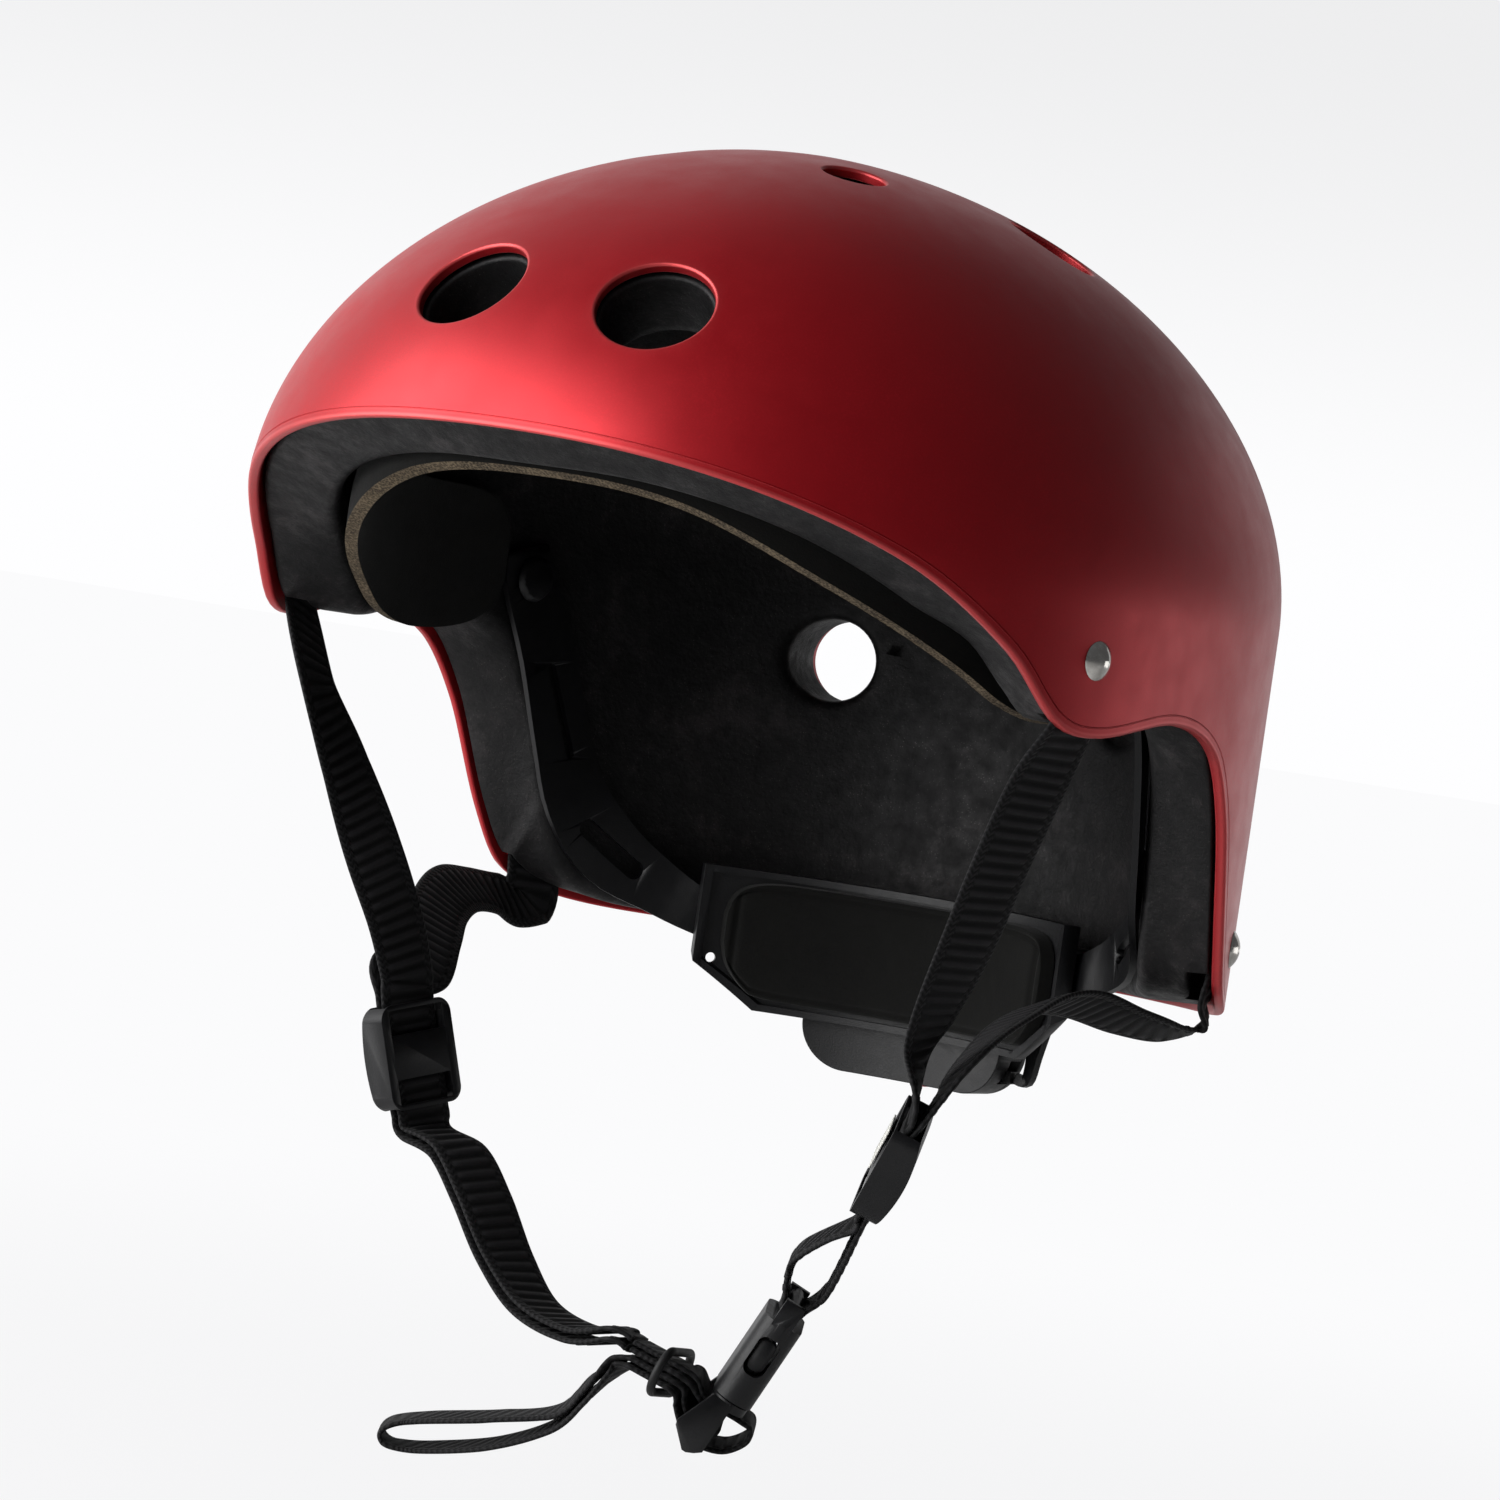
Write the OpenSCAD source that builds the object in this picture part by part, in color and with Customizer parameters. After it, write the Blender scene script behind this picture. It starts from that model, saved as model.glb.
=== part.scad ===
// Skate helmet: moulded shell, foam liner, pads, dial-fit cradle, riveted webbing and a
// side-release buckle.
// Millimetres. The front faces -Y, the wearer's left is +X and the crown is up, +Z.
// The origin is the middle of the head opening, at the level where the shell is widest.

/* [Shell] */
// Half of the shell's width at its widest level
half_w = 107.5; // [102:0.5:114]
// Reach of the shell ahead of the origin
front_l = 121; // [115:0.5:128]
// Reach of the shell behind the origin
rear_l = 134; // [128:0.5:142]
// Height of the crown above the origin
crown_h = 91; // [85:0.5:97]
// Wall of the moulded shell
shell_t = 2.4; // [1.8:0.1:3]
// Height of the brow edge
brow_z = 20; // [15:0.5:24]
// Height of the lobe's edge ahead of the ear
lobe_z = -27; // [-32:0.5:-24]
// Height of the top of the ear cut
ear_z = -22.6; // [-26:0.1:-20]
// Height of the nape edge
nape_z = -89.5; // [-94:0.5:-85]

/* [Vents] */
// Diameter of the two front vents
front_vent_d = 25.5; // [18:0.5:28]
// Diameter of the two small top vents
top_vent_d = 14; // [10:0.5:18]
// Diameter of the two upper side vents
side_vent_d = 22; // [16:0.5:26]
// Diameter of the two upper rear vents
rear_vent_d = 25; // [18:0.5:28]
// Diameter of the two lower rear vents
low_vent_d = 21; // [16:0.5:24]

/* [Liner] */
// Thickness of the foam liner
liner_t = 17; // [15:0.5:19]
// Drop of the liner's underside from the brow edge inwards
brow_slope = 9; // [5:0.5:11]

/* [Pads] */
// Thickness of the brow pad
brow_pad_t = 3.6; // [3:0.2:5]
// Height of the brow pad at the temples
brow_pad_h = 37; // [32:1:40]
// Thickness of the crown pad
crown_pad_t = 5; // [3:0.5:7]
// Length of the crown pad
crown_pad_l = 78; // [60:1:90]
// Width of the crown pad
crown_pad_w = 40; // [30:1:44]
// Thickness of the nape pad
nape_pad_t = 6; // [4:0.5:8]

/* [Webbing] */
// Width of the webbing
web_w = 15; // [13:0.5:15.5]
// Thickness of the webbing
web_t = 1.5; // [1.2:0.1:1.6]
// Radius of a rivet's domed head
rivet_head_r = 4.3; // [3.5:0.1:5]
// Radius of a rivet's shank
rivet_shank_r = 1.9; // [1.5:0.1:2.2]
// Length of a strap divider
divider_l = 24; // [20:0.5:26]
// Width of a strap divider
divider_w = 20.5; // [19.5:0.5:23]
// Height of a strap divider's domed cover
divider_h = 8; // [7.5:0.1:9]

/* [Buckle] */
// Width of the buckle
buckle_w = 22; // [21:0.5:24]
// Thickness of the buckle's socket
buckle_h = 9.5; // [9:0.1:11]
// Distance from the socket's mouth to its strap bar
socket_l = 24.5; // [24:0.5:28]
// Radius of the strap bars
bar_r = 1.5; // [1.3:0.1:1.7]

/* [Fit cradle] */
// Radius of the cradle band's inner face
band_r = 76; // [72:0.5:80]
// Wall of the cradle band
band_t = 2.2; // [1.8:0.1:2.8]
// Half of the angle that the band spans
band_half = 41; // [38:0.5:42]
// Height of the band at the nape's middle
band_h = 33; // [30:0.5:35]
// Width of a fit arm
arm_w = 16; // [13:0.5:18]
// Thickness of a fit arm
arm_t = 1.6; // [1.2:0.1:2]
// Teeth on the dial's pinion
pinion_teeth = 12;
// Pitch radius of the pinion
pinion_r = 6; // [5.6:0.1:6.4]
// Radius of the dial knob
knob_r = 15; // [13:0.5:15]
// Thickness of the dial knob
knob_t = 7; // [6:0.5:8]

/* [Hidden] */
$fn = 48;

// Clearances between neighbouring pieces
seat = 0.3;
slip = 0.4;
foam_gap = 0.85;

// Powers of the shell's plan outline and of its side profile
plan_n = 2.2;
side_n = 1.92;

// Vents: angle from the front, height, diameter and turn of the bore towards the rear
vents = [[13.6, 50.6, front_vent_d, 0], [45, 86.3, top_vent_d, 0], [114, 78.4, side_vent_d, 0],
    [150, 52, rear_vent_d, 0], [161, -21.5, low_vent_d, 15]];

// Rivets: angle from the front and height
front_rivet = [73.4, -10.7];
rear_rivet = [126, -71.6];

// Small helpers
function unit(v) = v / norm(v);
function at(m, p) = let (q = m * [p[0], p[1], p[2], 1]) [q[0], q[1], q[2]];
function turned(m, v) = at(m, v) - at(m, [0, 0, 0]);

// A smooth curve through keys of any length of vector
function spline(k, i, s) =
    let (a = k[max(i - 1, 0)], b = k[i], c = k[i + 1], d = k[min(i + 2, len(k) - 1)])
    0.5 * (2 * b + (c - a) * s + (2 * a - 5 * b + 4 * c - d) * s * s + (3 * b - 3 * c + d - a) * s
        * s * s);
function smooth(k, n) = concat([for (i = [0:len(k) - 2]) for (j = [0:n - 1]) spline(k, i, j / n)],
    [k[len(k) - 1]]);
function span(k, x, i = 0) = i >= len(k) - 2 || x < k[i + 1][0] ? i : span(k, x, i + 1);
function curve(k, x) =
    let (i = span(k, x), a = k[i], b = k[i + 1], w = b[0] - a[0], s = (x - a[0]) / w,
        p = k[max(i - 1, 0)], q = k[min(i + 2, len(k) - 1)],
        ma = i == 0 ? 0 : (b[1] - p[1]) / (b[0] - p[0]) * w,
        mb = i == len(k) - 2 ? 0 : (q[1] - a[1]) / (q[0] - a[0]) * w)
    a[1] * (1 + 2 * s) * (1 - s) * (1 - s) + ma * s * (1 - s) * (1 - s)
    + b[1] * s * s * (3 - 2 * s) - mb * s * s * (1 - s);

// The dome: a rounded plan outline that shrinks towards the crown, and upright walls below the
// widest level
function plan_r(a, inset) =
    pow(pow(abs(sin(a)) / (half_w - inset), plan_n)
        + pow(abs(cos(a)) / ((cos(a) > 0 ? front_l : rear_l) - inset), plan_n), -1 / plan_n);
function level(z, inset) = z <= 0 ? 1 : pow(1 - pow(min(z / (crown_h - inset), 1), side_n), 1 / side_n);
function wall_pt(a, z, inset) =
    let (r = plan_r(a, inset) * level(z, inset)) [r * sin(a), -r * cos(a), z];
function turn_of(z, inset) = z > 0 ? acos(z / (crown_h - inset)) : 90 - z / (crown_h - inset)
    * 180 / PI;
function z_of(turn, inset) = (crown_h - inset) * (turn <= 90 ? cos(turn) : (90 - turn) * PI / 180);
function wall_n(a, z) =
    let (p = wall_pt(a, z, 0), l = p[1] < 0 ? front_l : rear_l,
        q = pow(abs(p[0] / half_w), plan_n) + pow(abs(p[1] / l), plan_n), m = pow(q,
            side_n / plan_n - 1),
        gx = m * pow(abs(p[0] / half_w), plan_n - 1) * sign(p[0]) / half_w,
        gy = m * pow(abs(p[1] / l), plan_n - 1) * sign(p[1]) / l,
        gz = z <= 0 ? 0 : pow(z / crown_h, side_n - 1) / crown_h)
    unit([gx, gy, gz]);

// Height of the shell's edge at an angle from the front
rim_keys = [[0, brow_z], [24, brow_z - 3.5], [45, brow_z - 15], [60, lobe_z + 15.5], [68, lobe_z + 2.2],
    [75, lobe_z - 0.2], [92, ear_z], [104, ear_z - 5.5], [111, ear_z - 20], [117.5, nape_z + 22],
    [122, nape_z + 9], [130, nape_z + 3], [145, nape_z + 0.6], [180, nape_z]];
function around(a) = abs(a > 180 ? 360 - a : a);
function rim_z(a) = curve(rim_keys, around(a));
function slope_z(a) = brow_slope * curve([[0, 1.1], [15, 1], [35, 0.9], [50, 0.75], [59, 0.1], [67,
    -0.35], [73, 0],
    [180, 0]], around(a));

// Local frames: on the wall with x along it and z outwards, and along a strap with x across and z
// along it
function frame_of(x, y, z, p) = [[x[0], y[0], z[0], p[0]], [x[1], y[1], z[1], p[1]], [x[2], y[2],
    z[2], p[2]], [0, 0, 0, 1]];
function on_wall(a, z) =
    let (n = wall_n(a, z), x = unit(cross([0, 0, 1], n))) frame_of(x, cross(n, x), n, wall_pt(a, z, 0));
function along(p, dir, across) =
    let (t = unit(dir), w = unit(across - (across * t) * t)) frame_of(w, cross(t, w), t, p);

// Closed skins made of rings of points
function ring_faces(n, m) = concat(
    [for (i = [0:m - 2]) for (j = [0:n - 1]) for (s = [0, 1])
        let (a = i * n + j, b = i * n + (j + 1) % n, c = a + n, d = b + n) s == 0 ? [a, d, b] : [a,
            c, d]],
    [for (j = [1:n - 2]) [0, j, j + 1]], [for (j = [1:n - 2]) [(m - 1) * n, (m - 1) * n + j + 1,
        (m - 1) * n + j]]);

// A flat band through keys of place, side direction and width
function band_rings(keys, t, shift) =
    [for (i = [0:len(keys) - 1])
        let (a = keys[max(i - 2, 0)], b = keys[min(i + 2, len(keys) - 1)], k = keys[i],
            dir = unit([b[0] - a[0], b[1] - a[1], b[2] - a[2]]), side = [k[3], k[4], k[5]],
            w = unit(side - (side * dir) * dir) * k[6] / 2, m = cross(dir, unit(w)), n = m * t / 2,
            p = [k[0], k[1], k[2]] + m * shift)
        each [p + w + n, p - w + n, p - w - n, p + w - n]];
module band(keys, t, steps, shift = 0) {
    rings = band_rings(smooth(keys, steps), t, shift);
    polyhedron(rings, ring_faces(4, len(rings) / 4), convexity = 8);
}
function key(p, side, w) = [p[0], p[1], p[2], side[0], side[1], side[2], w];

// Columns of the shell's mesh, closer together round the lobe and the ear cut
half_columns = concat([for (a = [0:6:54]) a], [for (a = [58:2:130]) a], [for (a = [135:5:180]) a]);
columns = concat(half_columns, [for (i = [len(half_columns) - 2:-1:1]) 360 - half_columns[i]]);
liner_half = concat([for (a = [0:7.5:52.5]) a], [for (a = [58:4:130]) a], [for (a = [138:7:180]) a]);
liner_columns = concat(liner_half, [for (i = [len(liner_half) - 1:-1:1]) 360 - liner_half[i]]);

// One side of a domed wall, from the pole down to the edge
function dome_side(cols, rows, inset, edge) = concat([[0, 0, crown_h - inset]],
    [for (i = [1:rows]) for (a = cols) let (z = z_of(turn_of(edge(a), inset) * i / rows, inset))
        wall_pt(a, z, inset)]);
function side_faces(n, rows, base, flip) = concat(
    [for (j = [0:n - 1]) let (a = base + 1 + j, b = base + 1 + (j + 1) % n) flip ? [base, b, a]
        : [base, a, b]],
    [for (i = [0:rows - 2]) for (j = [0:n - 1]) for (s = [0, 1])
        let (a = base + 1 + i * n + j, b = base + 1 + i * n + (j + 1) % n, c = a + n, d = b + n)
        s == 0 ? (flip ? [a, b, d] : [a, d, b]) : (flip ? [a, d, c] : [a, c, d])]);
module domed_wall(cols, rows, outside, inside, outer_edge, inner_edge) {
    n = len(cols);
    m = 1 + rows * n;
    outer_last = 1 + (rows - 1) * n;
    inner_last = m + 1 + (rows - 1) * n;
    polyhedron(concat(dome_side(cols, rows, outside, outer_edge), dome_side(cols, rows, inside,
        inner_edge)),
        concat(side_faces(n, rows, 0, true), side_faces(n, rows, m, false),
            [for (j = [0:n - 1]) for (s = [0, 1])
                let (a = outer_last + j, b = outer_last + (j + 1) % n, c = inner_last + j,
                    d = inner_last + (j + 1) % n)
                s == 0 ? [a, b, d] : [a, d, c]]), convexity = 10);
}

// Vent bores through shell and liner
module vent_bores(widen) {
    for (v = vents, side = [-1, 1]) {
        m = on_wall(side * v[0], v[1]);
        multmatrix(m) rotate([0, side * v[3], 0]) translate([0, 0, -42]) cylinder(d = v[2] + widen,
            h = 60);
    }
}
module at_rivets() {
    for (r = [front_rivet, rear_rivet], side = [-1, 1]) multmatrix(on_wall(side * r[0], r[1]))
        children();
}

module outer_shell() {
    color("firebrick") difference() {
        domed_wall(columns, 12, 0, shell_t, function (a) rim_z(a), function (a) rim_z(a));
        vent_bores(0);
        at_rivets() translate([0, 0, -8]) cylinder(r = rivet_shank_r + 0.1, h = 12);
    }
}

// Liner: its outside follows the shell's inner face, and its strap channels open downwards
liner_out = shell_t + foam_gap;
liner_in = liner_out + liner_t;
liner_lift = 2;
channel_depth = 4.8;
// The ear cut's face runs straight in, so its inner edge lies a few degrees further back
function ear_turn(a) = curve([[0, 0], [90, 0], [103, 5], [118, 6], [140, 0], [180, 0]], around(a));
function liner_rim(a) = rim_z(a) + liner_lift;
function liner_inner_rim(a) = rim_z(around(a) - ear_turn(a)) + liner_lift - slope_z(a);
strap_top = 8;
module eps_liner() {
    color([0.12, 0.12, 0.12]) difference() {
        domed_wall(liner_columns, 9, liner_out, liner_in, function (a) liner_rim(a), function (a)
            liner_inner_rim(a));
        vent_bores(-1.5);
        at_rivets() translate([-web_w / 2 - 1.2, -40, -liner_out - channel_depth])
            cube([web_w + 2.4, 40 + strap_top + 2, channel_depth + 6]);
        for (side = [-1, 1]) multmatrix(arm_pin_frame(side)) translate([0, 0, -16])
            cylinder(r = pin_r + 0.05, h = 30);
    }
}

// Pads that lie on the liner's inner face, with a crown and drawn-in edges
pad_gap = 2;
function bulge(u, v) = pow(1 - pow(abs(u), 4), 0.5) * pow(1 - pow(abs(v), 3), 0.5);
function pad_faces(n, m) =
    let (back = n * m) concat(
    [for (i = [0:m - 2]) for (j = [0:n - 2]) for (s = [0, 1])
        let (a = i * n + j, b = a + 1, c = a + n, d = c + 1) s == 0 ? [a, d, b] : [a, c, d]],
    [for (i = [0:m - 2]) for (j = [0:n - 2]) for (s = [0, 1])
        let (a = back + i * n + j, b = a + 1, c = a + n, d = c + 1) s == 0 ? [a, b, d] : [a, d, c]],
    [for (j = [0:n - 2]) for (s = [0, 1]) let (a = j, b = j + 1) s == 0 ? [a, b, back + b] : [a,
        back + b, back + a]],
    [for (j = [0:n - 2]) for (s = [0, 1]) let (a = (m - 1) * n + j, b = a + 1)
        s == 0 ? [b, a, back + a] : [b, back + a, back + b]],
    [for (i = [0:m - 2]) for (s = [0, 1]) let (a = i * n, b = a + n) s == 0 ? [b, a, back + a]
        : [b, back + a, back + b]],
    [for (i = [0:m - 2]) for (s = [0, 1]) let (a = i * n + n - 1, b = a + n)
        s == 0 ? [a, b, back + b] : [a, back + b, back + a]]);
// Share of a pad's half height left at a share of its half length, for rounded ends
function rounded_end(s, power) = pow(max(1 - pow(abs(s), power), 0.02), 1 / 3);

// The fit arm's pin: its angle round the liner and its height; the brow pad stops in front of it
arm_top = [112.5, -12];
brow_half = arm_top[0] - 7;
brow_cols = 45;
brow_rows = 9;
function brow_pt(i, j, lift) =
    let (s = -1 + 2 * j / (brow_cols - 1), v = -1 + 2 * i / (brow_rows - 1), a = brow_half * s,
        low = turn_of(brow_low(a), liner_in), high = turn_of(brow_top(a), liner_in),
        mid = (low + high) / 2, reach = (low - high) / 2 * rounded_end(s, 14),
        edge = 0.6 * brow_pad_t, inset = liner_in + pad_gap + (lift ? edge + (brow_pad_t - edge)
            * bulge(s, v) : 0),
        z = z_of(mid + reach * v, inset))
    wall_pt(a, z, inset);
function brow_low(a) = curve([[0, brow_z - 8], [20, brow_z - 11], [40, lobe_z + 23], [61, lobe_z
    + 8.5], [71, lobe_z + 1.5],
    [82, lobe_z - 1.5], [115, lobe_z]], around(a));
function brow_top(a) = brow_low(a) + brow_pad_h * curve([[0, 0.6], [40, 0.85], [70, 1], [180, 1]],
    around(a));
module brow_pad() {
    color([0.16, 0.16, 0.15]) polyhedron(
        concat([for (i = [0:brow_rows - 1]) for (j = [0:brow_cols - 1]) brow_pt(i, j, true)],
            [for (i = [0:brow_rows - 1]) for (j = [0:brow_cols - 1]) brow_pt(i, j, false)]),
        pad_faces(brow_cols, brow_rows), convexity = 6);
}

// The crown pad's middle lies a little behind the crown
crown_pad_y = 12;
crown_rings = 5;
crown_spokes = 32;
function dome_z(x, y, inset) =
    let (l = (y < 0 ? front_l : rear_l) - inset,
        q = pow(pow(abs(x) / (half_w - inset), plan_n) + pow(abs(y) / l, plan_n), side_n / plan_n))
    (crown_h - inset) * pow(max(1 - q, 0), 1 / side_n);
function crown_pt(r, a, lift) =
    let (c = cos(a), s = sin(a), k = pow(pow(abs(c), 4) + pow(abs(s), 4), -0.25),
        x = r * k * c * crown_pad_w / 2, y = crown_pad_y + r * k * s * crown_pad_l / 2,
        edge = 0.6 * crown_pad_t, inset = liner_in + pad_gap + (lift ? edge + (crown_pad_t - edge)
            * (1 - pow(r, 4)) : 0))
    [x, y, dome_z(x, y, inset)];
module crown_pad() {
    rings = [for (i = [crown_rings:-1:1]) i / crown_rings];
    n = crown_spokes;
    pts = concat([crown_pt(0, 0, true)], [for (i = [1:crown_rings]) for (j = [0:n - 1])
        crown_pt(i / crown_rings, j * 360 / n, true)],
        [for (i = [crown_rings:-1:1]) for (j = [0:n - 1]) crown_pt(i / crown_rings, j * 360 / n,
            false)], [crown_pt(0, 0, false)]);
    last = len(pts) - 1;
    color([0.16, 0.16, 0.15]) polyhedron(pts, concat(
        [for (j = [0:n - 1]) [0, 1 + j, 1 + (j + 1) % n]],
        [for (i = [0:2 * crown_rings - 2]) for (j = [0:n - 1]) for (s = [0, 1])
            let (a = 1 + i * n + j, b = 1 + i * n + (j + 1) % n, c = a + n, d = b + n) s == 0 ? [a,
                d, b] : [a, c, d]],
        [for (j = [0:n - 1]) [last, last - n + (j + 1) % n, last - n + j]]), convexity = 6);
}

// Hook dots that hold the pads: angle and height on the liner's inner face
dot_r = 6;
dot_t = 0.8;
brow_dots = [[0, 37], [50, 14], [88, -6]];
dot_lift = 1.05;
module dot() { translate([0, 0, -dot_lift - dot_t]) cylinder(r = dot_r, h = dot_t); }
function dome_tilt(y) = atan((dome_z(0, y + 1, liner_in) - dome_z(0, y - 1, liner_in)) / 2);
module pad_hook_dots() {
    color([0.2, 0.2, 0.2]) {
        for (d = brow_dots, side = d[0] == 0 ? [1] : [-1, 1]) {
            p = wall_pt(side * d[0], d[1], liner_in);
            n = wall_n(side * d[0], d[1] * crown_h / (crown_h - liner_in));
            multmatrix(along(p, n, cross([0, 0, 1], n))) dot();
        }
        for (y = [-12, 36]) translate([0, y, dome_z(0, y, liner_in)])
            rotate([dome_tilt(y), 0, 0]) dot();
    }
}

// Rivets and their inner washers: the depths are measured inwards from the shell's outside
strap_in = shell_t + 2 * seat;
washer_in = strap_in + web_t + 0.1;
washer_t = 0.8;
clinch_in = washer_in + washer_t;
clinch_t = 1.1;
module strap_rivets() {
    color("silver") at_rivets() rotate_extrude() union() {
        intersection() {
            translate([0, -3.8]) circle(r = 5.72);
            square([rivet_head_r, 2]);
        }
        translate([0, -clinch_in - clinch_t]) square([rivet_shank_r, clinch_in + clinch_t + 0.5]);
        translate([0, -clinch_in - clinch_t]) square([rivet_shank_r + 1.6, clinch_t]);
    }
}
module rivet_washers() {
    color("gray") at_rivets() translate([0, 0, -washer_in - washer_t]) difference() {
        cylinder(r = rivet_shank_r + 3.6, h = washer_t);
        translate([0, 0, -1]) cylinder(r = rivet_shank_r + 0.1, h = washer_t + 2);
    }
}

// Webbing on the wall: side keys from above the rivet down to the shell's edge
function wall_key(r, side, z, ease) =
    let (n = wall_n(side * r[0], z), p = wall_pt(side * r[0], min(z, 0), 0) - n * (strap_in + ease
        + web_t / 2))
    key(p, unit([-side * n[1], side * n[0], 0]), web_w);
function down_wall(r, side, edge) = concat([for (z = [r[1] + strap_top, r[1] - 2]) wall_key(r,
    side, z, 0)],
    [wall_key(r, side, edge + 8, 0.1), wall_key(r, side, edge + 2, 0.9)]);
module riveted(r, side) {
    difference() {
        children();
        multmatrix(on_wall(side * r[0], r[1])) translate([0, 0, -9]) cylinder(r = rivet_shank_r
            + 0.1, h = 12);
    }
}

// Dividers: place, direction down the strap, side direction, and the layers that they hold
divider_left_at = [61.8, -11.4, -125];
divider_left_dir = [-14, 6, -25];
divider_left_side = [-0.515, 0.857, 0];
divider_right_at = [-68, -8.6, -122.6];
divider_right_dir = [6, 3.5, -24];
divider_right_side = [0.3, 0.95, 0];
layer = (web_t + seat) / 2;
function left_div(x, y, z) = at(along(divider_left_at, divider_left_dir, divider_left_side), [x, y, z]);
function right_div(x, y, z) = at(along(divider_right_at, divider_right_dir, divider_right_side),
    [x, y, z]);

module front_strap_left() {
    color([0.1, 0.1, 0.1]) riveted(front_rivet, 1) band(concat(down_wall(front_rivet, 1, lobe_z), [
        key([93.2, -28, -38.3], [0.48, 0.88, 0], web_w), key([84.3, -23.5, -57.5], [0.45, 0.89, 0],
            web_w),
        key([76.3, -19, -76.6], [0.4, 0.92, 0], web_w), key([69.6, -16.5, -92.3], [0.15, 0.99, 0],
            web_w),
        key([66.2, -15, -102], [-0.2, 0.98, 0], web_w), key(left_div(0, -layer - 0.9,
            -divider_l / 2 - 3), divider_left_side, web_w),
        key(left_div(0, -layer - 0.15, -10), divider_left_side, web_w), key(left_div(0, -layer,
            -seat), divider_left_side, web_w)]),
        web_t, 4);
}
module rear_strap_left() {
    color([0.1, 0.1, 0.1]) riveted(rear_rivet, 1) band(concat(down_wall(rear_rivet, 1, nape_z + 3), [
        key([90.9, 69, -89.5], [-0.5, 0.8, -0.1], web_w), key([85, 66, -92], [-0.75, 0.5, -0.3], web_w),
        key([77.2, 59, -91], [-0.7, 0.4, -0.4], web_w), key([71.8, 47, -88.2], [-0.8, 0.25, -0.45],
            web_w),
        key([69.3, 33.5, -88.8], [-0.85, 0, -0.4], web_w), key([69.9, 19, -92.6], [-0.85, 0.1,
            -0.35], web_w),
        key([71, 4.4, -98.6], [-0.75, 0.45, -0.3], web_w), key([72.5, -8.5, -105.5], [-0.6, 0.75,
            -0.1], web_w),
        key(left_div(0, layer + 0.8, -divider_l / 2 - 1), divider_left_side, web_w),
        key(left_div(0, layer + 0.1, -8.5), divider_left_side, web_w), key(left_div(0, layer,
            -seat), divider_left_side, web_w)]),
        web_t, 3);
}
module front_strap_right() {
    color([0.1, 0.1, 0.1]) riveted(front_rivet, -1) band(concat(down_wall(front_rivet, -1, lobe_z), [
        key([-89.3, -36, -41.5], [-0.08, 0.99, 0], web_w), key([-82.6, -30, -59.5], [0.2, 0.97, 0],
            web_w),
        key([-77.5, -22, -77.4], [0.42, 0.9, 0], web_w), key([-73.4, -15.5, -92], [0.36, 0.93, 0],
            web_w),
        key([-70.8, -11.5, -104], [0.3, 0.95, 0], web_w), key(right_div(0, layer + 0.6,
            -divider_l / 2 - 3), divider_right_side, web_w),
        key(right_div(0, layer, -9), divider_right_side, web_w), key(right_div(0, layer, -seat),
            divider_right_side, web_w)]),
        web_t, 4);
}
module rear_strap_right() {
    color([0.1, 0.1, 0.1]) riveted(rear_rivet, -1) band(concat(down_wall(rear_rivet, -1, nape_z + 4), [
        key([-91, 66.5, -88], [0.55, 0.75, -0.3], web_w), key([-91, 58, -88.6], [0.6, 0.25, -0.75],
            web_w),
        key([-92, 48, -86.8], [0.75, 0, -0.62], web_w), key([-91, 36, -86.5], [0.78, 0.1, -0.62],
            web_w),
        key([-87, 24, -89.6], [0.75, 0.3, -0.55], web_w), key([-80.5, 12, -95.5], [0.6, 0.7, -0.3],
            web_w),
        key([-74.8, 1, -103], [0.4, 0.9, -0.1], web_w), key(right_div(1.6, -layer - 2.2,
            -divider_l / 2 - 6), divider_right_side, web_w),
        key(right_div(0, -layer - 0.1, -divider_l / 2 - 1.5), divider_right_side, web_w),
        key(right_div(0, -layer, -7), divider_right_side, web_w), key(right_div(0, -layer, -seat),
            divider_right_side, web_w)]),
        web_t, 3);
}

// Buckle frame: the socket's mouth, the direction towards its bar, and the side direction
mouth_at = [27.2, -5.9, -182.85];
buckle_dir = [9.8, 3.1, 21];
buckle_side = [0.515, -0.857, 0];
buckle = along(mouth_at, buckle_dir, buckle_side);
function in_buckle(x, y, z) = at(buckle, [x, y, z]);
buckle_x = turned(buckle, [1, 0, 0]);

// The left webbing runs down from the divider, round the socket's bar and back
wrap_r = bar_r + seat + web_t / 2;
module chin_strap_left() {
    side = -divider_left_side;
    color([0.1, 0.1, 0.1]) band(concat(
        [for (z = [seat, 10, 15, 18.5]) key(left_div(0, -layer, z), side, web_w)],
        [key(in_buckle(0, -5.4, socket_l + 9), buckle_x, web_w)],
        [for (a = [0:45:180]) key(in_buckle(0, -wrap_r * cos(a), socket_l - wrap_r * sin(a)),
            buckle_x, web_w)],
        [key(in_buckle(0, 4.4, socket_l + 7), buckle_x, web_w)],
        [for (z = [18.5, 15, 10, seat]) key(left_div(0, layer, z), side, web_w)]), web_t, 3);
}

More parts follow.
